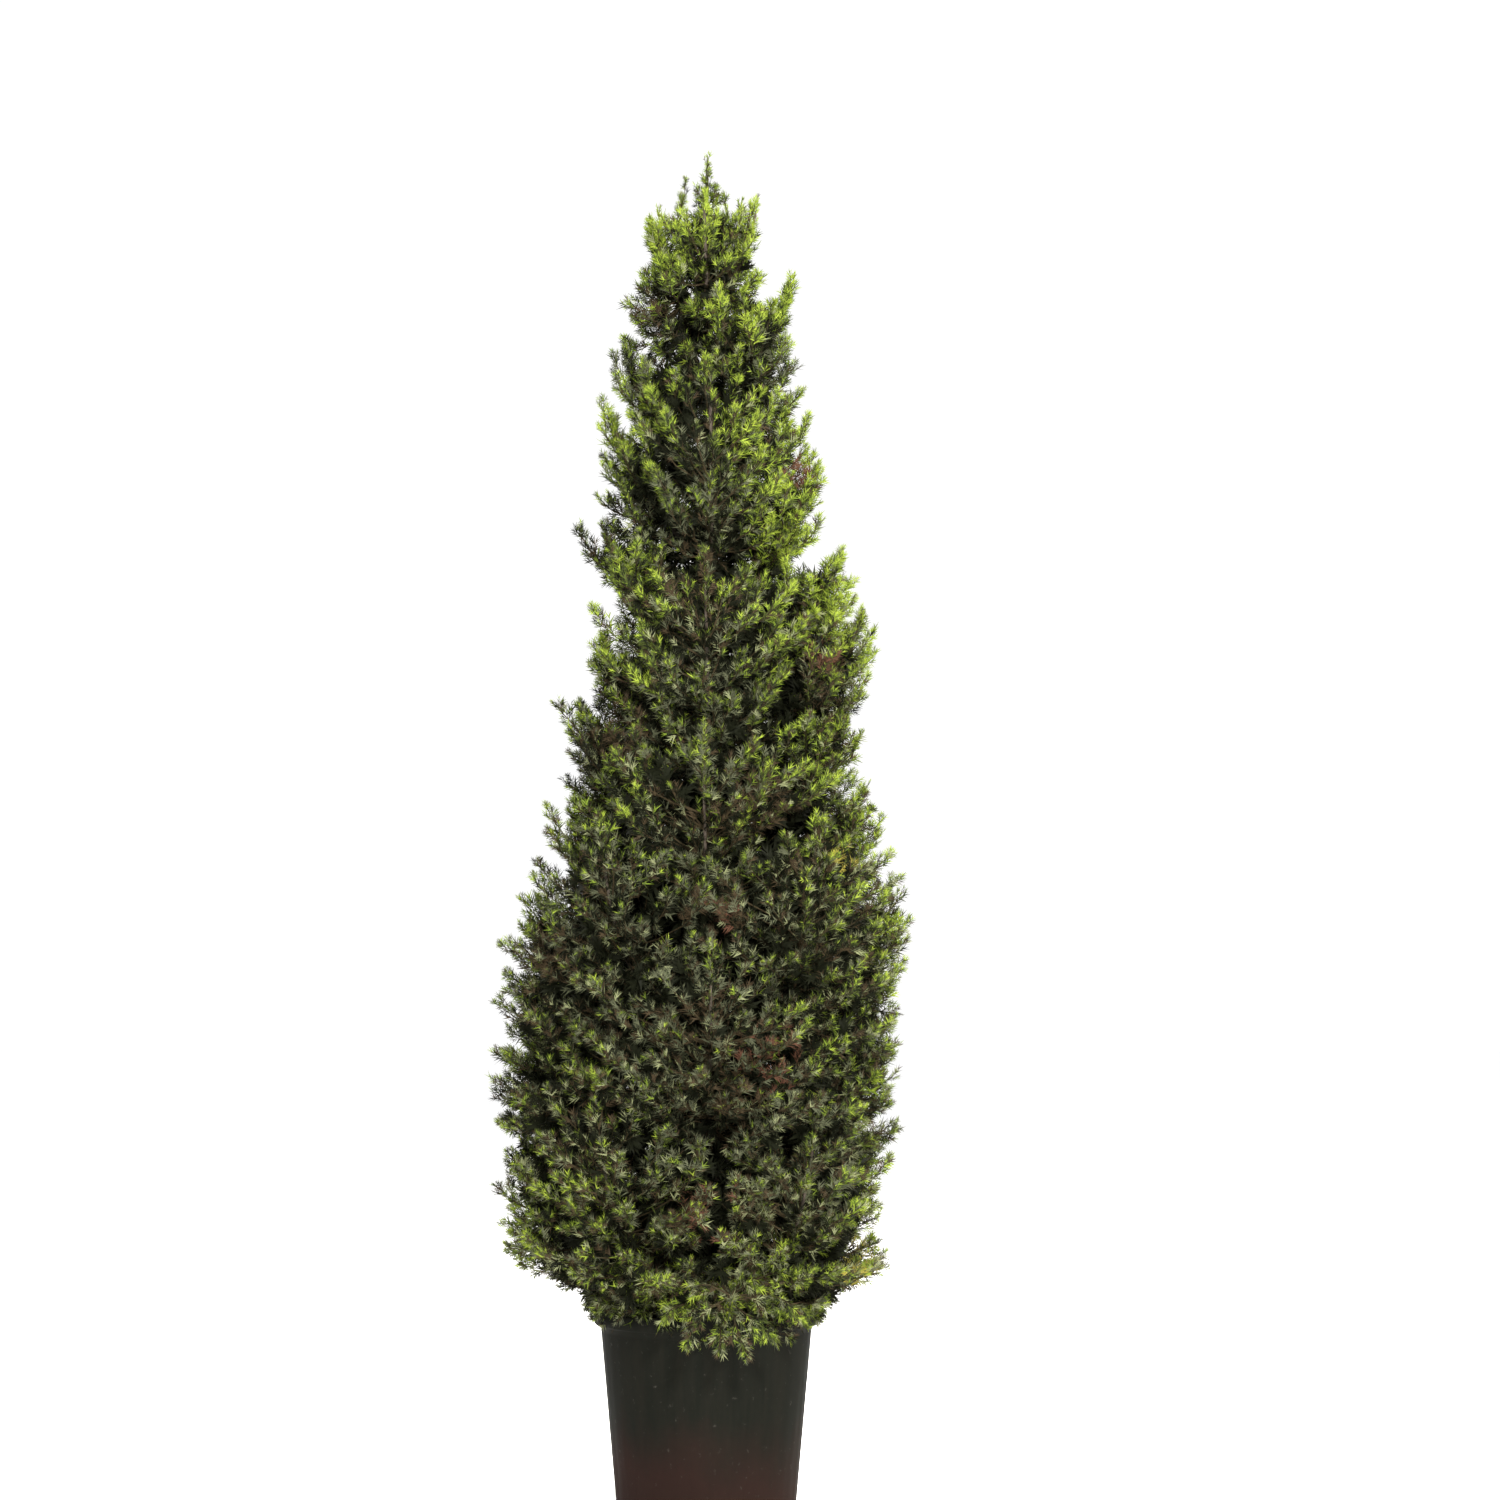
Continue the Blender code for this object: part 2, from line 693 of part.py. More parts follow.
def mass_solids(mass, masses):
    """The overlapping solids that make up a mass, with its stem first."""
    avoid = limbs_to_avoid(mass, masses)
    solids = [solid_faces(stem_rings(mass, 0))]
    for size in CORE_SIZES:
        core = core_solid(mass, size)
        if not tree_of([core]).overlap(avoid):
            break
    solids.append(core)
    skin = tree_of([core])
    solids += tip_spray(mass, avoid)
    for number, place in enumerate(outer_places(mass)):
        solids += twig_and_spray(mass, place, number, skin, avoid)
    return solids


def join_solids(name, solids, finish):
    """One closed solid from overlapping ones: a union with all the others in a collection."""
    operands = bpy.data.collections.new(name)
    objects = []
    for points, faces in solids:
        bm = bmesh.new()
        made = [bm.verts.new(point) for point in points]
        for face in faces:
            bm.faces.new([made[index] for index in face])
        bmesh.ops.triangulate(bm, faces=bm.faces)
        objects.append(new_object(name, bm, finish))
    whole = objects[0]
    for obj in objects[1:]:
        bpy.context.scene.collection.objects.unlink(obj)
        operands.objects.link(obj)
    union = whole.modifiers.new("union", "BOOLEAN")
    union.operation = "UNION"
    union.operand_type = "COLLECTION"
    union.solver = "MANIFOLD"
    union.collection = operands
    bpy.context.scene.collection.children.link(operands)
    joined = bpy.data.meshes.new_from_object(whole.evaluated_get(bpy.context.evaluated_depsgraph_get()))
    whole.modifiers.clear()
    whole.data = joined
    for obj in objects[1:]:
        bpy.data.objects.remove(obj)
    bpy.data.collections.remove(operands)
    keep_largest_body(joined)
    return whole


def keep_largest_body(mesh):
    """Drop loose scraps and fill sealed hollows: both are faces apart from the main body."""
    bm = bmesh.new()
    bm.from_mesh(mesh)
    left = set(bm.faces)
    bodies = []
    while left:
        body = {left.pop()}
        edge_faces = list(body)
        while edge_faces:
            face = edge_faces.pop()
            for edge in face.edges:
                for near in edge.link_faces:
                    if near in left:
                        left.remove(near)
                        body.add(near)
                        edge_faces.append(near)
        bodies.append(body)
    largest = max(bodies, key=len)
    spare = [face for body in bodies if body is not largest for face in body]
    bmesh.ops.delete(bm, geom=spare, context="FACES")
    bm.to_mesh(mesh)
    bm.free()


def make_mass(mass, masses, finish):
    whole = join_solids(mass.name, mass_solids(mass, masses), finish)
    whole.name = mass.name


def main():
    clear_scene()
    plastic = material("pot_plastic", (0.028, 0.026, 0.024), 0.5)
    compost = material("compost", (0.045, 0.028, 0.018), 0.95)
    bark = material("bark", (0.16, 0.095, 0.065), 0.85)
    foliage = material("foliage", (0.075, 0.125, 0.03), 0.7)
    make_pot(plastic)
    make_compost(compost)
    make_trunk(bark)
    masses = plan_masses()
    settle_spaces(masses)
    for mass in masses:
        if mass.bough:
            make_bough(mass, bark)
    for mass in masses:
        make_mass(mass, masses, foliage)


main()
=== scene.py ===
"""The looks of a potted Leyland cypress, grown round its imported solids. Metres, +Z up, seen along +Y."""

import math
from collections import namedtuple

import bpy
import numpy as np
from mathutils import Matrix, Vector, noise


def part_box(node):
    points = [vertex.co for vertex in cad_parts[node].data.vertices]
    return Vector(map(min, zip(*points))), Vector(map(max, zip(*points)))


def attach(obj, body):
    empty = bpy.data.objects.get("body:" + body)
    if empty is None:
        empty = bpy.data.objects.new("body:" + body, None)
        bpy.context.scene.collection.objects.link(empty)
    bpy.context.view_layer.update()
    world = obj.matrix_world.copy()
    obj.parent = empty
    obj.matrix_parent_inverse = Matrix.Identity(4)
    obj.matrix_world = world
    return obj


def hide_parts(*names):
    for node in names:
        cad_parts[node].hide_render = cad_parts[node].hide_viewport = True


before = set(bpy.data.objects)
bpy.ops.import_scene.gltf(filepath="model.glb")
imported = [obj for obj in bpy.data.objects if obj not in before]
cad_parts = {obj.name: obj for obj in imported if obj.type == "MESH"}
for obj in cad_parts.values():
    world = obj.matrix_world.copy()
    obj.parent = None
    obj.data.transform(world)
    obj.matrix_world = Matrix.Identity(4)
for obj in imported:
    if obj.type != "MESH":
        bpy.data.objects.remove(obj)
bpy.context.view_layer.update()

UP = np.array((0.0, 0.0, 1.0))
GOLDEN_ANGLE = math.pi * (3 - math.sqrt(5))
BODY = "root"

# Pot and compost, as the solids have them
POT_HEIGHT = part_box("pot")[1].z
POT_BASE_RADIUS = 0.161
POT_TOP_RADIUS = 0.1935
POT_LIP_RADIUS = POT_TOP_RADIUS + 0.009
POT_LIP_HEIGHT = 0.026
POT_WALL = 0.003
POT_FLOOR = 0.004
POT_CORNER = 0.004
POT_CORNER_STEPS = 5
POT_LIP_ROUNDING = 0.0025
POT_SIDE_RINGS = 24
POT_INSIDE_RINGS = 12
POT_SIDES = 144
POT_RIBS = 36
POT_RIB_DEPTH = 0.0004
POT_RIB_FOOT = 0.02
POT_RIB_TOP = POT_HEIGHT - POT_LIP_HEIGHT - 0.004
COMPOST_LEVEL = 0.318
COMPOST_HEAP = 0.010
COMPOST_HEAP_RADIUS = 0.19
COMPOST_RELIEF = 0.004
COMPOST_CLODS = 28
COMPOST_GRAINS = 160
COMPOST_SUNK = 0.0015
COMPOST_EDGE_DEPTH = 0.03
COMPOST_RINGS = 46
COMPOST_SIDES = 150

# Trunk, as the solids have it, with finer rings and bark relief
TRUNK_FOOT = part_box("trunk")[0].z
TRUNK_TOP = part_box("trunk")[1].z
TRUNK_FOOT_RADIUS = 0.0205
TRUNK_TIP_RADIUS = 0.0032
TRUNK_FLARE = 0.013
TRUNK_FLARE_HEIGHT = 0.035
TRUNK_FLARE_LOBES = 5
TRUNK_BOW_RIGHT = 0.012
TRUNK_BOW_BACK = 0.007
TRUNK_SIDES = 30
TRUNK_RINGS = 190
BARK_RELIEF = 0.0011
BARK_FISSURE_LENGTH = 0.055
BARK_FISSURE_WIDTH = 0.007
BARK_HOLLOW = 0.6
BARK_GRAIN = 0.35
BARK_GRAIN_SCALE = 260

# Limbs: a bough or stem each, which runs on into its mass
BOUGH_ROOT_RADIUS = 0.0080
BOUGH_TIP_RADIUS = 0.0052
STEM_ROOT_RADIUS = 0.0050
STEM_TIP_RADIUS = 0.0026
LIMB_TIP_RADIUS = 0.0010
BOUGH_ENDS = 0.25
STEM_ENDS = 0.80
LIMB_SIDES = 10
LIMB_RINGS = 22
LIMB_RELIEF = 0.0005
LIMB_RELIEF_SCALE = 170
LIMB_COLLAR = 0.5
LIMB_COLLAR_SHARE = 0.03
LIMB_SUNK = 0.004
LIMB_SHOWS = 0.88

# Which way each mass faces, in degrees from +X towards the back
FACES = {
    "right": 0,
    "back_right": 54,
    "back": 90,
    "back_left": 126,
    "left": 180,
    "front_left": 234,
    "front": 270,
    "front_right": 306,
}
TWO_IN_FRONT = ("right", "back", "left", "front_left", "front_right")
TWO_BEHIND = ("right", "back_right", "back_left", "left", "front")
FOUR_ROUND = ("right", "back", "left", "front")
SIDES_ONLY = ("right", "left")

# The crown's tiers from the ground up: the tips, reaches and recesses below them that its outline shows
Tier = namedtuple(
    "Tier", "faces tip_left tip_right reach_left reach_right rise bough recess_left recess_right"
)
TIERS = (
    Tier(TWO_IN_FRONT, 0.690, 0.640, 0.398, 0.338, 20, True, 0.016, 0.004),
    Tier(TWO_BEHIND, 0.950, 0.900, 0.396, 0.370, 28, True, -0.018, 0.018),
    Tier(TWO_IN_FRONT, 1.120, 1.135, 0.372, 0.374, 34, True, -0.022, 0.012),
    Tier(FOUR_ROUND, 1.276, 1.320, 0.306, 0.324, 40, False, 0.010, 0.010),
    Tier(SIDES_ONLY, 1.470, 1.500, 0.282, 0.300, 44, False, 0.000, 0.040),
    Tier(FOUR_ROUND, 1.597, 1.640, 0.236, 0.318, 46, False, 0.000, 0.040),
    Tier(SIDES_ONLY, 1.800, 1.750, 0.236, 0.274, 48, False, 0.080, 0.020),
    Tier(FOUR_ROUND, 2.000, 1.910, 0.210, 0.228, 50, False, 0.000, 0.060),
    Tier(SIDES_ONLY, 2.125, 2.240, 0.182, 0.174, 52, False, 0.010, 0.005),
    Tier(FOUR_ROUND, 2.370, 2.405, 0.124, 0.108, 56, False, -0.035, 0.005),
)
CENTRE_REACH = 0.60
CENTRE_DEPTH = 0.090
CENTRE_DEPTH_PER_REACH = 0.26
TIP_REACH = 0.88
FREE_TIP_RISE = 0.13
TURN_PLAY = 0.08
REACH_PLAY = (0.95, 1.03)
HEIGHT_PLAY = (-0.02, 0.03)
SPACE_SLOPE = 0.60
SPACE_LIFT = 0.13
SPACE_LIFT_HEIGHT = 0.10
SPACE_BELOW_START = 0.10
SPACE_CORNER = math.radians(32)
SPACE_FILLED = 0.96
SPACE_GAP = 0.0014
SPACE_MINGLES = 0.022
LEADER_TIP = 2.478
LEADER_CENTRE = 2.425
LEADER_REACH = 0.060
LEADER_TAPER = 0.50
LEADER_TIP_RADIUS = 0.012
LEADER_PLANES = 8
LEADER_RISE = math.radians(85)
LEADER_LEAFY_BELOW = 0.07
LEADER_WIDTH = 0.9
LEADER_SWELL = 0.8
SKIRT_AZIMUTH = math.radians(280)
SKIRT_ROOT = 0.352
SKIRT_CENTRE_REACH = 0.225
SKIRT_CENTRE = 0.385
SKIRT_REACH = 0.290
SKIRT_FOOT = 0.262
SKIRT_TOP = 0.420
SKIRT_RISE = math.radians(-60)
SKIRT_FILLED = 0.97

# Plumes: the leafy ends of the branches, whose tips stand on the crown's outer shell
PLUME_TRIES = 5000
PLUME_SPACING = 0.047
PLUME_LENGTH = 0.130
PLUME_INSET = -0.006
PLUME_OVERREACH = 0.018
PLUME_BELOW_TIP = 0.022
PLUME_BELOW_CENTRE = 0.35
PLUME_SHELL = 0.050
PLUME_CAP = 0.050
PLUME_CAP_INSIDE = 0.3
PLUME_STRAY = 0.07
PLUME_TURN = math.radians(95)
PLUME_STEEPER = 20
PLUME_STEEPEST = 80
PLUME_OFF_STEM = 0.38
STEM_PLUME_LENGTH = 0.30
PLUME_EARLIEST = 0.12
PLUME_PLAY = 0.20
PLUME_FEET = np.linspace(0.28, 0.88, 14)
PLUME_FOOT_BELOW = 0.12
PLUME_BEND = 0.42

# Plumes that the outline shows: right of the trunk, height
TUFTS = {
    "leader": ((0.008, 2.494),),
    "10_left": (
        (-0.042, 2.452), (-0.052, 2.42), (-0.092, 2.392), (-0.112, 2.35), (-0.122, 2.27), (-0.13, 2.235),
        (-0.158, 2.205),
    ),
    "10_right": ((0.03, 2.425), (0.062, 2.405), (0.085, 2.4)),
    "9_right": ((0.16, 2.262), (0.166, 2.225)),
    "9_left": ((-0.176, 2.12), (-0.16, 2.145)),
    "8_left": ((-0.202, 2.03), (-0.2, 1.98)),
    "8_right": ((0.215, 1.9),),
    "7_left": ((-0.24, 1.795), (-0.232, 1.74)),
    "7_right": ((0.25, 1.735),),
    "6_left": ((-0.218, 1.575), (-0.22, 1.54), (-0.208, 1.5)),
    "6_right": ((0.295, 1.61), (0.315, 1.56)),
    "5_left": (
        (-0.29, 1.468), (-0.245, 1.465), (-0.21, 1.47), (-0.262, 1.415), (-0.245, 1.365), (-0.242, 1.32),
    ),
    "5_right": ((0.268, 1.435), (0.262, 1.375), (0.276, 1.34)),
    "4_left": ((-0.3, 1.284), (-0.302, 1.235), (-0.25, 1.275), (-0.225, 1.29)),
    "3_left": ((-0.35, 1.11), (-0.388, 1.02), (-0.378, 0.975)),
    "3_right": ((0.366, 1.125), (0.38, 1.03)),
    "2_left": ((-0.395, 0.92), (-0.398, 0.83), (-0.376, 0.785), (-0.372, 0.73)),
    "1_left": ((-0.372, 0.65), (-0.342, 0.51)),
    "1_right": ((0.345, 0.64),),
}

# Plumes that close gaps in the crown: right of the trunk, behind it, height
FILLERS = {
    "6_right": ((0.166, 0.0, 1.512), (0.152, 0.03, 1.5), (0.134, 0.0, 1.446), (0.055, 0.0, 1.565)),
    "4_right": ((0.178, 0.0, 1.24),),
    "1_front_left": ((-0.127, 0.0, 0.655), (-0.1, 0.0, 0.525), (0.005, -0.33, 0.57)),
    "1_front_right": ((0.044, -0.335, 0.618), (0.044, -0.335, 0.524)),
}

# The crown's shell: lobes rounded at their tips, with hollows between clumps of plumes
LOBE_TIP_REACH = 0.80
LOBE_ROUNDING = 0.060
FREE_LOBE_ROUNDING = 0.120
LOBE_HEIGHT = 0.120
CLUMP_SIZE = 0.085
CLUMP_DEPTH = 0.032
CLUMP_SHARPNESS = 1.5

# The underside of the crown, the fringe over the pot's rim and the skirt that hangs lower
BOWL_RADIUS = 0.207
BOWL_HEIGHT = 0.356
BOWL_SLOPE = 0.62
BOWL_DEPTH = 0.05
BOWL_SHARE = 0.35
BOWL_INNER_RADIUS = 0.08
BOWL_ABOVE_RIM = 0.02
FRINGE_TOP = 0.40
FRINGE_RADIUS = 0.212
FRINGE_HEIGHT = 0.334
FRINGE_DROOP = 0.50
FRINGE_PLUMES = 24
FRINGE_TURN = math.radians(78)
FRINGE_WIDTH = 0.016
FRINGE_DEPTH = 0.030
FRINGE_LIFT = 0.045
FRINGE_LIFT_PLACES = (-0.45, -0.20, 0.72, 0.90)
FRINGE_LIFT_SHARES = (1.0, 0.0, 0.0, 0.7)
SKIRT_INSET = 0.028
SKIRT_HALF_WIDTH = 0.130
SKIRT_SIDES_RISE = 0.055

# Branches that carry the plumes
BRANCH_ROOT_RADIUS = 0.0020
BRANCH_TIP_RADIUS = 0.0005
BRANCH_RINGS = 5
BRANCH_SIDES = 3
BRANCH_SHOWS = 0.97

# Twigs wind round each plume, shorter and closer to its line towards its tip
TWIG_SPACING = 0.0108
TWIG_LENGTH = 0.029
TWIG_LENGTH_LEAST = 0.012
TWIG_ANGLE_ROOT = math.radians(46)
TWIG_ANGLE_TIP = math.radians(18)
TWIG_LIFT = 0.16
TWIG_LIFT_PER_HEIGHT = 0.16
TWIG_ROOT_RADIUS = 0.0008
TWIG_TIP_RADIUS = 0.0003
TWIG_SHOWS = 0.9
TWIGS_LEAST = 5
TWIG_TURN_PLAY = 0.4
TWIG_ROLL = 0.5
TWIG_SWELL_ROOT = 0.6
TWIG_SWELL_RISE = 1.1
TWIG_SWELL_TAPER = 0.75
SIZE_PLAY = (0.8, 1.2)

# Plumes near the top are finer
FINE_HEIGHT = 0.16
FINE_ABOVE = 0.03
FINE_LEAST = 0.45

# Sprays along each twig, in one plane: place along it, side, length as a share of the twig's
SPRAY_PLACES = (
    (0.10, 1, 0.42),
    (0.27, -1, 0.44),
    (0.44, 1, 0.42),
    (0.60, -1, 0.38),
    (0.76, 1, 0.34),
    (0.75, 0, 0.46),
)
SPRAY_ANGLE = math.radians(33)
SPRAY_EXTRA = 0.0075
SPRAY_ROLL = 0.60
SPRAY_PLAY = 0.14
# Sprays farther out on a twig count as farther up the plume and take lighter tones: painted light towards
# the tips
SPRAY_LIGHTER = 0.15

# Sprays that fill the inside of the crown, on branches of their own, all in the deepest tone as painted
# shade
INNER_TRIES = 6000
INNER_SPACING = 0.038
INNER_SPACING_PER_REACH = 0.038
INNER_DEPTH = 0.062
INNER_BELOW_TIP = 0.040
INNER_NEAREST = 0.022
INNER_PER_TIP = 9
INNER_LENGTH = 0.024
INNER_LENGTH_PER_REACH = 0.045
INNER_PLAY = (0.8, 1.1)
INNER_SHARES = (0.6, 1.0)
INNER_SPREAD = 1.2
INNER_WIDTH = 0.36
INNER_KINDS = 3
INNER_RINGS = 3

# One spray: pointed shoots of one face each, on either side of an axis in turn and one at its end
SHOOT_COUNT = 5
SHOOT_FIRST = 0.02
SHOOT_SPAN = 0.64
END_SHOOT = (0.40, 0.0, 0.60)
SHOOT_LENGTH = 0.72
SHOOT_TAPER = 0.55
SHOOT_ANGLE = math.radians(34)
SHOOT_ANGLE_PLAY = (0.75, 1.25)
SHOOT_WIDTH = 0.17
SHOOT_SCATTER = 0.38
# Shoots near a spray's root are a tone darker, as painted shade, and those towards its end a tone lighter,
# as painted light
SHOOT_SHADED = 0.14
SHOOT_LIT = 0.38
SHOOT_PLAY = 0.45
SPRAY_KINDS = 6

# How much plain materials and the pot shine, and how uneven the pot's warm cast ends
PLAIN_GLOSS = 0.04
POT_GLOSS = 0.01
POT_CAST_UNEVEN = 0.22

# Foliage colours, from the painted shade of the inside to the painted light of the lit tips, and the ones
# that come in patches
FOLIAGE = {
    "deep": (0.007, 0.008, 0.004),
    "dark": (0.021, 0.027, 0.010),
    "mid": (0.052, 0.067, 0.016),
    "bright": (0.103, 0.145, 0.018),
    "lime": (0.195, 0.250, 0.030),
    "grey": (0.070, 0.076, 0.044),
    "pale": (0.165, 0.178, 0.090),
    "brown": (0.040, 0.029, 0.016),
    "rust": (0.072, 0.034, 0.021),
    "yellow": (0.220, 0.190, 0.035),
}
TONES = ("deep", "dark", "mid", "bright", "lime")
# Tone steps of the patches of painted light (lighter) and painted shade (darker)
TONE_SHIFTS = {"lighter": 1, "darker": -2}

# How the tones are dealt out, with light and shade painted in: darker inside the lobes as painted shade,
# lighter towards the light and towards the plumes' tips as painted light, and darker in a band of painted
# shade round the lower crown
TONE_STEPS = (0.30, 0.46, 0.66, 0.86)
TONE_DEPTH = 0.075
TONE_PLAY = 0.17
TONE_WEIGHTS = (0.30, 0.28, 0.34, 0.13)
TONE_LIGHT = np.array((0.45, -0.10, 0.90))
# Band of painted shade: how much darker, round which height and over what half-width
PAINTED_SHADE_BAND = 0.15
PAINTED_SHADE_BAND_HEIGHT = 1.08
PAINTED_SHADE_BAND_HALF = 0.75

# Colours scattered over all foliage, the less the higher
SCATTERED = {"grey": 0.14, "brown": 0.19, "pale": 0.11}
SCATTER_TOP = 2.0
SCATTER_LEAST = 0.3

# Patches on the side that is seen: right of the trunk, height, radius, share. The lighter patches are
# painted light on lit lobes, the darker ones painted shade in the notches between lobes
PATCHES = {
    "grey": (
        (-0.14, 2.06, 0.05, 0.45), (0.125, 2.07, 0.06, 0.4), (-0.05, 1.0, 0.22, 0.28),
        (0.06, 0.65, 0.2, 0.28), (0.0, 1.4, 0.14, 0.25), (-0.01, 1.8, 0.11, 0.3),
    ),
    "pale": ((0.03, 0.51, 0.12, 0.16),),
    "lighter": (
        (-0.07, 2.3, 0.07, 0.8), (0.055, 2.21, 0.07, 0.8), (0.15, 2.16, 0.05, 0.8),
        (0.07, 1.97, 0.065, 0.8), (-0.165, 1.96, 0.065, 0.8), (0.2, 1.87, 0.055, 0.8),
        (0.13, 1.75, 0.065, 0.8), (0.235, 1.65, 0.1, 1.0), (0.28, 1.53, 0.06, 0.9),
        (-0.19, 1.54, 0.065, 0.8), (-0.24, 1.43, 0.05, 0.8), (-0.26, 1.25, 0.055, 0.8),
        (-0.15, 1.275, 0.045, 0.8), (0.3, 1.2, 0.055, 0.8), (0.345, 1.01, 0.08, 0.6),
        (-0.3, 1.07, 0.05, 0.7), (-0.355, 0.81, 0.065, 0.8), (-0.215, 0.805, 0.06, 0.6),
        (-0.24, 0.59, 0.08, 0.6), (-0.34, 0.49, 0.07, 0.8), (0.3, 0.54, 0.06, 0.8),
        (-0.05, 0.48, 0.11, 0.7), (0.1, 0.43, 0.11, 0.8), (0.03, 0.57, 0.08, 0.5), (0.06, 2.33, 0.08, 0.8),
    ),
    "darker": (
        (-0.21, 1.76, 0.05, 1.0), (-0.215, 1.47, 0.06, 0.7), (-0.24, 1.35, 0.05, 0.9),
        (-0.365, 0.73, 0.04, 0.9), (-0.365, 0.6, 0.04, 0.9), (-0.235, 1.8, 0.04, 0.8),
        (0.15, 1.1, 0.06, 0.6), (-0.12, 0.86, 0.07, 0.6), (0.13, 0.68, 0.07, 0.6), (-0.2, 0.68, 0.06, 0.6),
        (-0.06, 1.23, 0.08, 0.5), (-0.26, 0.4, 0.06, 0.9), (-0.01, 2.02, 0.06, 0.7),
        (-0.02, 1.96, 0.05, 0.9), (-0.165, 2.085, 0.04, 0.9), (-0.015, 1.88, 0.07, 0.8),
        (-0.015, 1.72, 0.08, 0.8), (0.0, 1.55, 0.08, 0.6), (0.2, 0.78, 0.07, 0.4),
    ),
    "brown": (
        (0.024, 1.061, 0.055, 0.5), (0.03, 0.76, 0.07, 0.4), (0.015, 0.54, 0.08, 0.35),
        (0.0, 0.88, 0.05, 0.4), (-0.16, 1.39, 0.06, 0.4), (-0.27, 0.99, 0.055, 0.45),
        (-0.1, 2.17, 0.05, 0.35), (0.2, 1.5, 0.07, 0.25), (0.1, 1.255, 0.07, 0.35),
        (-0.03, 1.65, 0.08, 0.2),
    ),
    "rust": (
        (0.024, 1.061, 0.032, 0.3), (0.105, 0.812, 0.06, 0.25), (0.01, 0.56, 0.06, 0.22),
        (0.165, 1.87, 0.03, 0.55), (0.205, 1.53, 0.03, 0.4),
    ),
    "yellow": ((0.275, 0.44, 0.04, 0.25), (0.245, 1.16, 0.03, 0.25)),
}
PATCH_BACK = 0.10
PATCH_PLAY = (0.6, 1.2)

# Browned patches on the sides and back, at one reach low down and on a cone higher up
STRAY_PATCHES = 14
STRAY_RADIUS = 0.05
STRAY_SHARE = 0.5
STRAY_AZIMUTHS = (-0.1, math.pi + 0.1)
STRAY_HEIGHTS = (0.5, 2.1)
STRAY_REACH = 0.34
STRAY_CONE_RADIUS = 0.36
STRAY_CONE_TOP = 2.5
STRAY_CONE_HEIGHT = 1.6

# The photograph's view: how much height it shows and where its middle lies
CAMERA_DISTANCE = 6.0
CAMERA_HEIGHT = 0.95
VIEW_SIZE = 2.745
VIEW_RIGHT = 0.0787
VIEW_HEIGHT = VIEW_SIZE / 2
SENSOR = 36

# The studio: name, place, target, size, power and colour of each lamp
LAMPS = (
    ("key", (2.8, 0.9, 4.8), (0, 0, 1.3), 0.9, 830, (1, 0.97, 0.88)),
    ("left", (-3.0, 0.5, 4.2), (0, 0, 1.0), 1.2, 330, (1, 0.98, 0.95)),
    ("front", (1.0, -4.2, 3.0), (0, 0, 0.8), 0.9, 440, (1, 0.98, 0.94)),
)
SKY_LIGHT = 1.05
FLOOR_CORNERS = ((-40, -40, 0), (40, -40, 0), (40, 40, 0), (-40, 40, 0))


def unit(vectors):
    return vectors / np.maximum(np.linalg.norm(vectors, axis=-1, keepdims=True), 1e-12)


def square_to(vectors, headings):
    """Unit vectors at right angles to the headings, as near to the given ones as they can be."""
    return unit(vectors - (vectors * headings).sum(-1, keepdims=True) * headings)


def direction(azimuth):
    return np.array((math.cos(azimuth), math.sin(azimuth), 0.0))


def turns_round(sides):
    return np.arange(sides) * 2 * math.pi / sides


def on_curve(line, share):
    """Points on a curve from its foot at 0 to its tip at 1, drawn towards its control point."""
    foot, bend, tip = line
    share = np.asarray(share, float)[..., None]
    return foot * (1 - share) ** 2 + bend * 2 * share * (1 - share) + tip * share**2


def curve_heading(line, share):
    foot, bend, tip = line
    share = np.asarray(share, float)[..., None]
    return unit((bend - foot) * (1 - share) + (tip - bend) * share)


def trunk_rise(height):
    return np.clip((height - TRUNK_FOOT) / (TRUNK_TOP - TRUNK_FOOT), 0, 1)


def trunk_centre(height):
    rise = trunk_rise(height)
    right = TRUNK_BOW_RIGHT * np.sin(math.pi * rise)
    back = TRUNK_BOW_BACK * np.sin(2 * math.pi * rise)
    return np.stack(np.broadcast_arrays(right, back, height), axis=-1)


def trunk_flare(height):
    return TRUNK_FLARE * np.exp(-(height - TRUNK_FOOT) / TRUNK_FLARE_HEIGHT)


def trunk_radius(height):
    taper = (TRUNK_TIP_RADIUS - TRUNK_FOOT_RADIUS) * trunk_rise(height)
    return TRUNK_FOOT_RADIUS + taper + trunk_flare(height)


def between(left, right, azimuth):
    """A size that is left at 180 degrees and right at 0, and changes smoothly between them."""
    return (left + right) / 2 + (right - left) / 2 * math.cos(azimuth)


class Mass:
    """One mass of foliage: where it faces, the line of its stem and the space that it fills.

    Its level is the number of its tier, or 0 for the leader and the skirt.
    """

    def __init__(self, label, facing, centre, reach, tip, start, bough, seed):
        self.label = label
        self.facing = facing
        self.azimuth = math.atan2(facing[1], facing[0])
        self.centre = centre
        self.reach = reach
        self.tip = tip
        self.start = start
        self.bough = bough
        self.random = np.random.default_rng(seed)
        self.top = tip[2]
        self.droops = False
        self.upright = not facing.any()
        self.rise = LEADER_RISE
        self.level = 0
        self.recess = 0
        self.rounding = LOBE_ROUNDING

    def line(self):
        """The stem's curve, from the trunk to the mass's tip."""
        return self.start, 2 * self.centre - (self.start + self.tip) / 2, self.tip

    def set_space(self, planes):
        self.normals, self.limits = (np.array(values) for values in zip(*planes))

    def outside(self, points):
        """How far points lie outside the space, below 0 for points inside it."""
        return (points @ self.normals.T - self.limits).max(axis=-1)

    def way_out(self, point, ways):
        """How far the space goes on from a point in each direction."""
        room = self.limits - self.normals @ point
        speed = ways @ self.normals.T
        with np.errstate(divide="ignore", invalid="ignore"):
            distance = np.where(speed > 1e-9, room / speed, np.inf)
        return distance.min(axis=-1)


def limb_start(height, facing):
    return trunk_centre(height) + facing * trunk_radius(height)


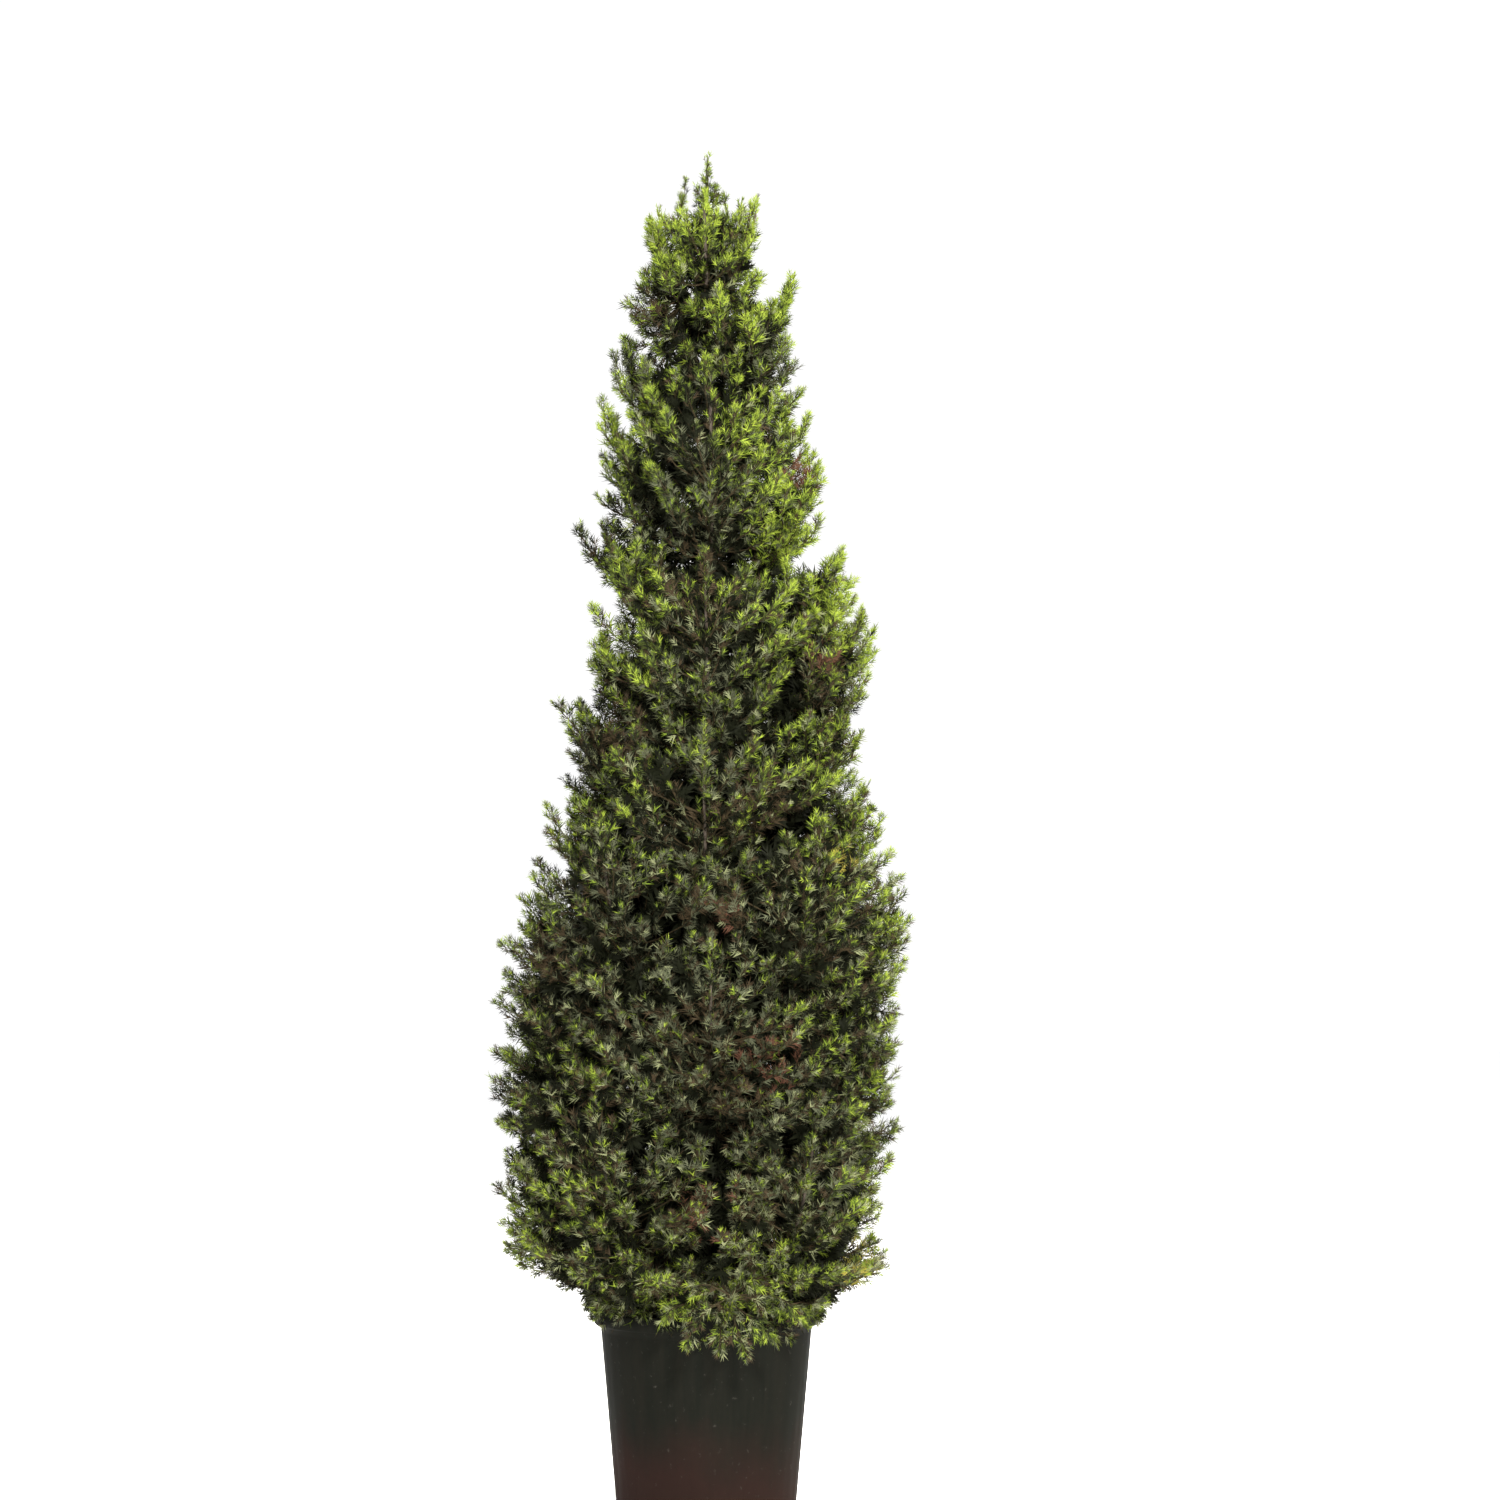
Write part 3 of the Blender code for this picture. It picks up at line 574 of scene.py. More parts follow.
def tier_mass(level, place, tier):
    face = tier.faces[place]
    random = np.random.default_rng(100 * level + place)
    azimuth = math.radians(FACES[face])
    reach = between(tier.reach_left, tier.reach_right, azimuth)
    height = between(tier.tip_left, tier.tip_right, azimuth)
    if face not in SIDES_ONLY:
        azimuth += random.uniform(-TURN_PLAY, TURN_PLAY)
        reach *= random.uniform(*REACH_PLAY)
        height += random.uniform(*HEIGHT_PLAY)
    facing = direction(azimuth)
    middle = height - CENTRE_DEPTH - CENTRE_DEPTH_PER_REACH * reach
    centre = trunk_centre(middle) + facing * CENTRE_REACH * reach
    root_height = middle - CENTRE_REACH * reach * math.tan(math.radians(tier.rise))
    start = limb_start(root_height, facing)
    tip = trunk_centre(height) + facing * TIP_REACH * reach
    seed = 1000 + 100 * level + place
    mass = Mass(f"{level}_{face}", facing, centre, reach, tip, start, tier.bough, seed)
    mass.rise = math.radians(min(tier.rise + PLUME_STEEPER, PLUME_STEEPEST))
    mass.level = level
    mass.recess = between(tier.recess_left, tier.recess_right, azimuth)
    if face not in SIDES_ONLY and level < len(TIERS):
        mass.top += FREE_TIP_RISE
        mass.rounding = FREE_LOBE_ROUNDING
    return mass


def leader_mass():
    start, centre, tip = trunk_centre(np.array((TRUNK_TOP, LEADER_CENTRE, LEADER_TIP)))
    return Mass("leader", np.zeros(3), centre, LEADER_REACH, tip, start, False, 31)


def skirt_mass():
    """The foliage that hangs over the pot's rim in front."""
    facing = direction(SKIRT_AZIMUTH)
    centre = facing * SKIRT_CENTRE_REACH + UP * SKIRT_CENTRE
    tip = facing * SKIRT_REACH * TIP_REACH + UP * SKIRT_FOOT
    skirt = Mass("skirt", facing, centre, SKIRT_REACH, tip, limb_start(SKIRT_ROOT, facing), True, 57)
    skirt.top = SKIRT_TOP
    skirt.droops = True
    skirt.rise = SKIRT_RISE
    return skirt


def shared_plane(mass, other):
    """The plane between two neighbours, across which they mingle a little."""
    across = other.centre - mass.centre
    outward = (mass.facing + other.facing) / 2
    normal = unit(across - SPACE_SLOPE * across[2] * outward)
    share = 0.5 + SPACE_LIFT * math.tanh(across[2] / SPACE_LIFT_HEIGHT)
    return normal, normal @ (mass.centre + across * share) + SPACE_MINGLES


def leader_planes(mass):
    planes = [(-UP, -(TRUNK_TOP + SPACE_GAP))]
    for turn in turns_round(LEADER_PLANES):
        outward = direction(turn)
        sloping = unit(outward + LEADER_TAPER * UP)
        planes.append((outward, mass.centre @ outward + mass.reach))
        planes.append((sloping, sloping @ (mass.tip + outward * LEADER_TIP_RADIUS)))
    return planes


def leaning_planes(mass):
    """Planes round a mass that leans out: past its tip, before the trunk, below and at the pot's lip."""
    side = np.cross(mass.facing, UP)
    planes = []
    for turn in (-SPACE_CORNER, 0, SPACE_CORNER):
        outward = math.cos(turn) * mass.facing + math.sin(turn) * side
        planes.append((outward, mass.reach + trunk_centre(mass.centre[2]) @ outward))
    lowest = mass.start[2] - SPACE_BELOW_START
    heights = (lowest, mass.start[2], mass.tip[2])
    nearest = max(trunk_centre(height) @ mass.facing + trunk_radius(height) for height in heights)
    planes.append((-mass.facing, -(nearest + SPACE_GAP)))
    if mass.droops:
        return planes + [(-UP, -SKIRT_FOOT), (-mass.facing, -(POT_LIP_RADIUS + SPACE_GAP))]
    over_rim = -unit(mass.facing * SPACE_SLOPE + UP)
    rim = mass.facing * (POT_LIP_RADIUS + SPACE_GAP) + UP * (POT_HEIGHT + SPACE_GAP)
    return planes + [(-UP, -lowest), (over_rim, over_rim @ rim)]


def space_planes(mass, masses):
    """The planes round a mass's space, each an outward normal and how far along it the space reaches."""
    planes = [shared_plane(mass, other) for other in masses if other is not mass]
    planes.append((UP, mass.top))
    return planes + (leader_planes(mass) if mass.upright else leaning_planes(mass))


def plan_masses():
    masses = []
    for level, tier in enumerate(TIERS, 1):
        for place in range(len(tier.faces)):
            masses.append(tier_mass(level, place, tier))
    masses += [leader_mass(), skirt_mass()]
    for mass in masses:
        mass.set_space(space_planes(mass, masses))
    for mass in masses:
        if mass.top > mass.tip[2]:
            mass.tip = mass.tip + UP * SPACE_FILLED * max(0, mass.way_out(mass.tip, UP))
        inside = min(1, SPACE_FILLED * mass.way_out(mass.centre, mass.tip - mass.centre))
        mass.tip = mass.centre + (mass.tip - mass.centre) * inside
    return masses


def new_object(name, data):
    made = bpy.data.objects.new(name, data)
    bpy.context.scene.collection.objects.link(made)
    return made


def mesh_piece(name, points, faces, materials, kinds=None, smooth=False):
    """A mesh object from arrays: every face has as many corners, and kinds are material numbers."""
    faces = np.asarray(faces, np.int32)
    corners = faces.shape[1]
    mesh = bpy.data.meshes.new(name)
    mesh.vertices.add(len(points))
    mesh.vertices.foreach_set("co", np.asarray(points, np.float32).ravel())
    mesh.loops.add(faces.size)
    mesh.loops.foreach_set("vertex_index", faces.ravel())
    mesh.polygons.add(len(faces))
    mesh.polygons.foreach_set("loop_start", np.arange(0, faces.size, corners, dtype=np.int32))
    if kinds is not None:
        mesh.polygons.foreach_set("material_index", np.asarray(kinds, np.int32))
    mesh.polygons.foreach_set("use_smooth", np.full(len(faces), smooth))
    mesh.update(calc_edges=True)
    for material in materials:
        mesh.materials.append(material)
    return new_object(name, mesh)


def finish_piece(piece, slot, *nodes):
    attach(piece, BODY)
    if nodes:
        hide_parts(*nodes)


def grid_faces(rings, sides):
    """Quads between closed rings of points, each ring having the same number of sides."""
    ring = np.arange(rings - 1)[:, None] * sides
    side = np.arange(sides)
    after = (side + 1) % sides
    corners = (ring + side, ring + after, ring + sides + after, ring + sides + side)
    return np.stack(corners, axis=-1).reshape(-1, 4)


def tube(points, radii, sides):
    """Rings round a line of points, as one array of rings by sides."""
    along = unit(np.gradient(points, axis=0))
    reference = UP if abs(along[:, 2]).mean() < 0.8 else np.array((1.0, 0.0, 0.0))
    across = unit(np.cross(along, reference))
    other = np.cross(across, along)
    turns = turns_round(sides)
    ring = np.cos(turns)[None, :, None] * across[:, None] + np.sin(turns)[None, :, None] * other[:, None]
    return points[:, None] + ring * np.reshape(radii, (-1, 1, 1))


def stacked(parts):
    """The points and faces of several parts as one array each."""
    starts = np.cumsum([0] + [len(points) for points, faces in parts])
    points = np.concatenate([points for points, faces in parts])
    faces = np.concatenate([faces + start for (points_of_part, faces), start in zip(parts, starts)])
    return points, faces


def joined(parts):
    """Lists of arrays as one list, in which each array has the rows of all."""
    return [np.concatenate(arrays) for arrays in zip(*parts)]


# Materials


def node_material(name, roughness):
    made = bpy.data.materials.new(name)
    made.use_nodes = True
    shader = made.node_tree.nodes["Principled BSDF"]
    shader.inputs["Roughness"].default_value = roughness
    return made, made.node_tree, shader


def plain_material(name, colour, roughness):
    made, tree, shader = node_material(name, roughness)
    shader.inputs["Base Color"].default_value = (*colour, 1)
    shader.inputs["Specular IOR Level"].default_value = PLAIN_GLOSS
    return made


def new_node(tree, kind, **values):
    """A shader node with values for its inputs by their names."""
    node = tree.nodes.new("ShaderNode" + kind)
    for name, value in values.items():
        node.inputs[name].default_value = value
    return node


def noise_of(tree, stretch, scale, detail, rough=0.6):
    """A noise, drawn out along the axes that the stretch makes smaller than 1."""
    place = new_node(tree, "TexCoord")
    scaled = new_node(tree, "Mapping", Scale=stretch)
    made = new_node(tree, "TexNoise", Scale=scale, Detail=detail, Roughness=rough)
    tree.links.new(place.outputs["Object"], scaled.inputs["Vector"])
    tree.links.new(scaled.outputs["Vector"], made.inputs["Vector"])
    return made.outputs["Fac"]


def ramp_of(tree, value, stops):
    made = new_node(tree, "ValToRGB")
    while len(made.color_ramp.elements) < len(stops):
        made.color_ramp.elements.new(0.5)
    for element, (place, colour) in zip(made.color_ramp.elements, stops):
        element.position = place
        element.color = (*colour, 1)
    tree.links.new(value, made.inputs["Fac"])
    return made.outputs["Color"]


def mixed(tree, share, first, second):
    """The first colour, with the second laid over it by a share from a pattern."""
    made = new_node(tree, "Mix")
    made.data_type = "RGBA"
    sockets = {socket.identifier: socket for socket in made.inputs}
    tree.links.new(share, sockets["Factor_Float"])
    tree.links.new(first, sockets["A_Color"])
    sockets["B_Color"].default_value = (*second, 1)
    return next(socket for socket in made.outputs if socket.identifier == "Result_Color")


def uneven_height(tree, noise_value):
    """The height in metres, made uneven by a noise."""
    place = new_node(tree, "TexCoord")
    parts = new_node(tree, "SeparateXYZ")
    tree.links.new(place.outputs["Object"], parts.inputs["Vector"])
    uneven = new_node(tree, "Math")
    uneven.operation = "MULTIPLY_ADD"
    uneven.inputs[1].default_value = POT_CAST_UNEVEN
    tree.links.new(noise_value, uneven.inputs[0])
    tree.links.new(parts.outputs["Z"], uneven.inputs[2])
    return uneven.outputs["Value"]


def bumped(tree, shader, height, strength, distance):
    bump = new_node(tree, "Bump", Strength=strength, Distance=distance)
    tree.links.new(height, bump.inputs["Height"])
    tree.links.new(bump.outputs["Normal"], shader.inputs["Normal"])


def grained_material(name, roughness, pattern, stops, strength, distance):
    """A material whose colour and relief follow one noise."""
    made, tree, shader = node_material(name, roughness)
    grain = noise_of(tree, *pattern)
    tree.links.new(ramp_of(tree, grain, stops), shader.inputs["Base Color"])
    bumped(tree, shader, grain, strength, distance)
    return made


def bark_material():
    """Grey-brown bark with long dark fissures."""
    stops = ((0.32, (0.014, 0.009, 0.006)), (0.50, (0.040, 0.028, 0.018)), (0.70, (0.085, 0.068, 0.050)))
    return grained_material("bark_fissured", 0.85, ((1, 1, 0.16), 150, 6, 0.65), stops, 0.6, 0.002)


def compost_material():
    stops = ((0.30, (0.010, 0.006, 0.004)), (0.55, (0.040, 0.024, 0.014)), (0.80, (0.11, 0.070, 0.042)))
    return grained_material("compost_fibrous", 0.95, ((1, 1, 1), 420, 8, 0.75), stops, 0.8, 0.003)


def pot_material():
    """Dark moulded plastic with streaks down its side, a warmer cast low down and pale scuffs."""
    made, tree, shader = node_material("pot_moulded_plastic", 0.5)
    shader.inputs["Specular IOR Level"].default_value = POT_GLOSS
    streaks = noise_of(tree, (1, 1, 0.05), 60, 4)
    colour = ramp_of(tree, streaks, ((0.35, (0.0052, 0.0057, 0.0044)), (0.65, (0.0070, 0.0070, 0.0054))))
    height = uneven_height(tree, noise_of(tree, (1, 1, 0.5), 9, 3))
    warm = ramp_of(tree, height, ((0.18, (1, 1, 1)), (0.30, (0, 0, 0))))
    colour = mixed(tree, warm, colour, (0.0122, 0.0070, 0.0057))
    specks = noise_of(tree, (1, 1, 1), 90, 6)
    scuffs = ramp_of(tree, specks, ((0.64, (0, 0, 0)), (0.80, (0.5, 0.5, 0.5))))
    colour = mixed(tree, scuffs, colour, (0.06, 0.055, 0.048))
    tree.links.new(colour, shader.inputs["Base Color"])
    rough = ramp_of(tree, streaks, ((0.3, (0.55, 0.55, 0.55)), (0.7, (0.72, 0.72, 0.72))))
    tree.links.new(rough, shader.inputs["Roughness"])
    bumped(tree, shader, specks, 0.12, 0.0006)
    return made


def foliage_materials():
    return [plain_material("foliage_" + name, colour, 0.62) for name, colour in FOLIAGE.items()]


# Pot, compost, trunk and limbs


def pot_radius(height):
    return POT_BASE_RADIUS + (POT_TOP_RADIUS - POT_BASE_RADIUS) * height / POT_HEIGHT


def pot_profile():
    """(radius, height) points of the pot: its underside, side, lip and inside, in that order."""
    under_lip = POT_HEIGHT - POT_LIP_HEIGHT
    points = [(POT_BASE_RADIUS * share, 0.0) for share in (0.02, 0.5, 0.86)]
    for step in range(POT_CORNER_STEPS + 1):
        turn = math.pi / 2 * step / POT_CORNER_STEPS
        radius = POT_BASE_RADIUS - POT_CORNER * (1 - math.sin(turn))
        points.append((radius, POT_CORNER * (1 - math.cos(turn))))
    for share in np.linspace(0.06, 1, POT_SIDE_RINGS):
        points.append((pot_radius(under_lip * share), under_lip * share))
    rounded = POT_LIP_RADIUS - POT_LIP_ROUNDING
    points += [(rounded, under_lip), (POT_LIP_RADIUS, under_lip + POT_LIP_ROUNDING)]
    points += [(POT_LIP_RADIUS, POT_HEIGHT - POT_LIP_ROUNDING), (rounded, POT_HEIGHT)]
    points.append((POT_TOP_RADIUS - POT_WALL + 0.001, POT_HEIGHT))
    for share in np.linspace(0.98, 0.02, POT_INSIDE_RINGS):
        height = POT_FLOOR + (POT_HEIGHT - POT_FLOOR) * share
        points.append((pot_radius(height) - POT_WALL, height))
    points.append((0.002, POT_FLOOR))
    return np.array(points)


def make_pot():
    """The pot with fine upright ribs on the outside of its wall."""
    profile = pot_profile()
    radii, heights = profile.T
    turns = turns_round(POT_SIDES)
    outside = radii > pot_radius(heights) - POT_WALL / 2
    ribbed = outside & (heights > POT_RIB_FOOT) & (heights < POT_RIB_TOP)
    ribs = ribbed[:, None] * POT_RIB_DEPTH * (0.5 + 0.5 * np.cos(POT_RIBS * turns))
    radius = radii[:, None] - ribs
    rows = np.repeat(heights[:, None], POT_SIDES, 1)
    points = np.stack((radius * np.cos(turns), radius * np.sin(turns), rows), -1)
    faces = grid_faces(len(profile), POT_SIDES)
    pot = mesh_piece("pot_shell", points.reshape(-1, 3), faces, [pot_material()], smooth=True)
    finish_piece(pot, "pot_plastic", "pot")


def compost_height(x, y):
    heap = COMPOST_HEAP * max(0, 1 - math.hypot(x, y) / COMPOST_HEAP_RADIUS)
    clods = noise.noise(Vector((x, y, 0)) * COMPOST_CLODS)
    grains = noise.noise(Vector((x, y, 3)) * COMPOST_GRAINS)
    return COMPOST_LEVEL + heap + COMPOST_RELIEF * (0.5 * clods + 0.4 * grains) - COMPOST_SUNK


def make_compost():
    edge = pot_radius(COMPOST_LEVEL) - POT_WALL - 0.0003
    turns = turns_round(COMPOST_SIDES)
    points = []
    for radius in np.linspace(0.004, edge, COMPOST_RINGS):
        for turn in turns:
            x, y = radius * math.cos(turn), radius * math.sin(turn)
            points.append((x, y, compost_height(x, y)))
    for turn in turns:
        x, y = edge * 0.99 * math.cos(turn), edge * 0.99 * math.sin(turn)
        points.append((x, y, COMPOST_LEVEL - COMPOST_EDGE_DEPTH))
    faces = grid_faces(COMPOST_RINGS + 1, COMPOST_SIDES)
    ground = mesh_piece("compost_surface", points, faces, [compost_material()], smooth=True)
    finish_piece(ground, "compost", "compost")


def bark_height(point, turn, height):
    """Relief of the bark at a point: long ridges that meet and part."""
    aside = direction(turn)[:2] * (TRUNK_FOOT_RADIUS / BARK_FISSURE_WIDTH)
    ridges = noise.noise(Vector((*aside, height / BARK_FISSURE_LENGTH)))
    grain = noise.noise(Vector(point) * BARK_GRAIN_SCALE)
    return abs(ridges) * 2 - BARK_HOLLOW + BARK_GRAIN * grain


def make_trunk(bark):
    heights = TRUNK_FOOT + (TRUNK_TOP - TRUNK_FOOT) * (np.arange(TRUNK_RINGS) / (TRUNK_RINGS - 1)) ** 1.25
    turns = turns_round(TRUNK_SIDES)
    points = []
    for height in heights:
        centre = trunk_centre(height)
        radius = float(trunk_radius(height))
        flare = float(trunk_flare(height))
        relief = BARK_RELIEF * radius / TRUNK_FOOT_RADIUS
        for turn in turns:
            hollow = flare / 3 * (1 - math.cos(TRUNK_FLARE_LOBES * turn))
            place = centre + direction(turn) * (radius - hollow)
            points.append(place + direction(turn) * relief * bark_height(place, turn, height))
    faces = grid_faces(TRUNK_RINGS, TRUNK_SIDES)
    trunk = mesh_piece("trunk_bark", points, faces, [bark], smooth=True)
    finish_piece(trunk, "bark", "trunk")


def limb_radius(mass, share):
    """The radius along a mass's limb: its bough if it has one, then its stem."""
    if mass.bough:
        places = (0, BOUGH_ENDS, STEM_ENDS, 1)
        radii = (BOUGH_ROOT_RADIUS, BOUGH_TIP_RADIUS, STEM_TIP_RADIUS, LIMB_TIP_RADIUS)
    else:
        places = (0, STEM_ENDS, 1)
        root = TRUNK_TIP_RADIUS if mass.upright else STEM_ROOT_RADIUS
        radii = (root, LIMB_TIP_RADIUS if mass.upright else STEM_TIP_RADIUS, LIMB_TIP_RADIUS)
    return np.interp(share, places, radii)


def make_limbs(masses, bark):
    """Each mass's limb in one piece, with a swollen collar where it leaves the trunk."""
    parts = []
    shares = np.linspace(0, LIMB_SHOWS, LIMB_RINGS) ** 1.15
    collar = 1 + LIMB_COLLAR * np.exp(-shares / LIMB_COLLAR_SHARE)
    for mass in masses:
        line = on_curve(mass.line(), shares)
        if not mass.upright:
            line[0] -= mass.facing * LIMB_SUNK
        rings = tube(line, limb_radius(mass, shares) * collar, LIMB_SIDES)
        outward = unit(rings - line[:, None])
        relief = [noise.noise(Vector(point) * LIMB_RELIEF_SCALE) for point in rings.reshape(-1, 3)]
        rings = rings + outward * np.reshape(relief, rings.shape[:2])[..., None] * LIMB_RELIEF
        parts.append((rings.reshape(-1, 3), grid_faces(LIMB_RINGS, LIMB_SIDES)))
    limbs = mesh_piece("limbs_bark", *stacked(parts), [bark], smooth=True)
    finish_piece(limbs, "bark", *[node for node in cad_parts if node.startswith("bough")])


# Branches, plumes, twigs and sprays


def lobe_reach(mass, heights):
    """How far from the trunk a mass's plumes reach: rounded at its tip, then drawing in below it."""
    below = mass.tip[2] - heights
    rounded = 1 - (1 - LOBE_TIP_REACH) * np.clip(1 - below / mass.rounding, 0, 1) ** 2
    drawn_in = mass.recess * np.clip((below - mass.rounding) / LOBE_HEIGHT, 0, 1)
    return mass.reach * rounded - drawn_in - PLUME_INSET


def round_trunk(azimuth, radius, heights):
    outward = np.stack((np.cos(azimuth), np.sin(azimuth), np.zeros(len(azimuth))), axis=-1)
    return trunk_centre(heights) + outward * radius[:, None]


def clumped(reach, azimuth, heights):
    """The reach drawn in where there is a hollow between two clumps of plumes."""
    rounds = np.stack((np.cos(azimuth) * reach, np.sin(azimuth) * reach, heights), axis=-1) / CLUMP_SIZE
    bumps = np.array([noise.noise(Vector(place)) for place in rounds])
    return reach - CLUMP_DEPTH * np.clip(0.5 - CLUMP_SHARPNESS * bumps, 0, 1)


def bowl_height(radius):
    """The underside of the crown: level over the pot, then rising outwards like a bowl."""
    over_pot = POT_HEIGHT + BOWL_ABOVE_RIM
    outside = BOWL_HEIGHT + BOWL_SLOPE * (radius - BOWL_RADIUS)
    return np.where(radius < BOWL_RADIUS, over_pot, outside)


def places_facing(mass, below_tip, count):
    """Random heights, up to a little below a mass's tip, and azimuths on the side that it faces."""
    heights = mass.random.uniform(mass.centre[2] - PLUME_BELOW_CENTRE, mass.tip[2] - below_tip, count)
    return heights, mass.azimuth + mass.random.uniform(-1, 1, count) * PLUME_TURN


def shell_places(mass):
    """Random places on a mass's shell: its side, its top and, in the lowest tier, its underside."""
    heights, azimuth = places_facing(mass, PLUME_BELOW_TIP, PLUME_TRIES)
    most = clumped(lobe_reach(mass, heights), azimuth, heights)
    near_top = mass.tip[2] - heights < PLUME_CAP
    least = np.where(near_top, PLUME_CAP_INSIDE * most, most - PLUME_SHELL)
    radius = least + (most - least) * np.sqrt(mass.random.uniform(0, 1, PLUME_TRIES))
    if mass.level == 1:
        under = mass.random.uniform(0, 1, PLUME_TRIES) < BOWL_SHARE
        spread = (mass.reach - BOWL_INNER_RADIUS) * mass.random.uniform(0, 1, PLUME_TRIES)
        radius = np.where(under, BOWL_INNER_RADIUS + spread, radius)
        low = bowl_height(radius) + mass.random.uniform(0, BOWL_DEPTH, PLUME_TRIES)
        heights = np.where(under, low, heights)
        keep = (heights > bowl_height(radius)) & (radius < lobe_reach(mass, heights) + 1e-6)
        azimuth, radius, heights = azimuth[keep], radius[keep], heights[keep]
    return round_trunk(azimuth, radius, heights)


def skirt_places(mass):
    """Places over the outer face of the skirt, a tongue that hangs lowest in its middle."""
    ways = unit(mass.random.normal(size=(PLUME_TRIES, 3)))
    ways = ways[ways @ mass.facing > 0]
    places = mass.centre + ways * (mass.way_out(mass.centre, ways) * SKIRT_FILLED)[:, None]
    aside = np.abs(places @ np.cross(mass.facing, UP)) / SKIRT_HALF_WIDTH
    return places[(aside < 1) & (places[:, 2] > SKIRT_FOOT + SKIRT_INSET + SKIRT_SIDES_RISE * aside**2)]


def fringe_places(mass):
    """Places over the pot's rim, where plumes droop and hide it, higher at the left and right."""
    spread = (np.arange(FRINGE_PLUMES) + mass.random.uniform(0, 1, FRINGE_PLUMES)) / FRINGE_PLUMES - 0.5
    radius = FRINGE_RADIUS + FRINGE_WIDTH * mass.random.uniform(0, 1, FRINGE_PLUMES)
    heights = FRINGE_HEIGHT + FRINGE_DEPTH * mass.random.uniform(0, 1, FRINGE_PLUMES)
    azimuth = mass.azimuth + FRINGE_TURN * spread
    heights += FRINGE_LIFT * np.interp(np.cos(azimuth), FRINGE_LIFT_PLACES, FRINGE_LIFT_SHARES)
    return list(round_trunk(azimuth, radius, heights))


def leader_places(mass):
    length = mass.tip[2] - mass.centre[2] + LEADER_LEAFY_BELOW
    heights = mass.tip[2] - length * mass.random.uniform(0, 1, PLUME_TRIES)
    share = (mass.tip[2] - heights) / length
    azimuth = mass.random.uniform(0, 2 * math.pi, PLUME_TRIES)
    return round_trunk(azimuth, mass.reach * LEADER_WIDTH * share**LEADER_SWELL, heights)


def plume_tips(mass, masses):
    """Evenly spread places for the plumes' tips, with the mass's own tip first."""
    if mass.upright:
        places = leader_places(mass)
    elif mass.droops:
        places = skirt_places(mass)
    else:
        places = own_places(mass, masses, shell_places(mass), PLUME_BELOW_TIP)
    chosen = spread_out(places, mass.tip + UP * (SKIRT_INSET if mass.droops else 0), PLUME_SPACING)
    if mass.level == 1:
        chosen += fringe_places(mass)
    chosen += [np.array((right, 0, height)) for right, height in TUFTS.get(mass.label, ())]
    return chosen + [np.array(place) for place in FILLERS.get(mass.label, ())]


def spread_out(places, first, spacing):
    """The first place and then, again and again, the one farthest from all that are chosen."""
    chosen = [first]
    apart = np.linalg.norm(places - first, axis=1)
    while len(apart) and apart.max() > spacing:
        chosen.append(places[apart.argmax()])
        apart = np.minimum(apart, np.linalg.norm(places - chosen[-1], axis=1))
    return chosen


def own_places(mass, masses, places, below_tip):
    """The places that a mass's space holds below its tip, or comes nearer to than others do."""
    rivals = [other for other in masses if other.level]
    too_high = [places[:, 2] - other.tip[2] + below_tip for other in rivals]
    outside = np.stack([np.maximum(other.outside(places), high) for other, high in zip(rivals, too_high)])
    own = rivals.index(mass)
    return places[(outside.argmin(axis=0) == own) & (outside[own] < PLUME_STRAY)]


def inner_tips(mass, masses):
    """Places for the sprays, dark with painted shade, that fill a mass behind its plumes."""
    if not mass.level:
        return []
    heights, azimuth = places_facing(mass, INNER_BELOW_TIP, INNER_TRIES)
    most = np.maximum(INNER_NEAREST + 0.01, lobe_reach(mass, heights) - INNER_DEPTH)
    radius = INNER_NEAREST + (most - INNER_NEAREST) * np.sqrt(mass.random.uniform(0, 1, INNER_TRIES))
    keep = heights > bowl_height(radius) + BOWL_DEPTH / 2
    places = round_trunk(azimuth[keep], radius[keep], heights[keep])
    places = own_places(mass, masses, places, INNER_BELOW_TIP)
    spacing = INNER_SPACING + INNER_SPACING_PER_REACH * mass.reach
    return spread_out(places, on_curve(mass.line(), 0.5), spacing)


def nearest_foot(mass, place):
    """Of the points on a mass's stem where branches start, the one nearest to a place."""
    feet = on_curve(mass.line(), PLUME_FEET)
    return feet[np.linalg.norm(feet - place, axis=1).argmin()]


def plume_heading(mass, tip):
    """Outwards and up as the mass's limbs do, away from its stem, and a little at random."""
    outward = unit((tip - trunk_centre(tip[2])) * (1, 1, 0))
    heading = math.cos(mass.rise) * outward + math.sin(mass.rise) * UP
    off_stem = unit(tip - nearest_foot(mass, tip))
    return unit(heading + PLUME_OFF_STEM * off_stem + mass.random.normal(0, PLUME_PLAY, 3))


def branch_line(mass, tip):
    """The foot, the middle control point and the tip of the branch that ends in a plume."""
    heading = plume_heading(mass, tip)
    tip = tip - heading * PLUME_OVERREACH
    foot = nearest_foot(mass, tip - heading * PLUME_FOOT_BELOW)
    return foot, tip - heading * PLUME_BEND * np.linalg.norm(tip - foot), tip


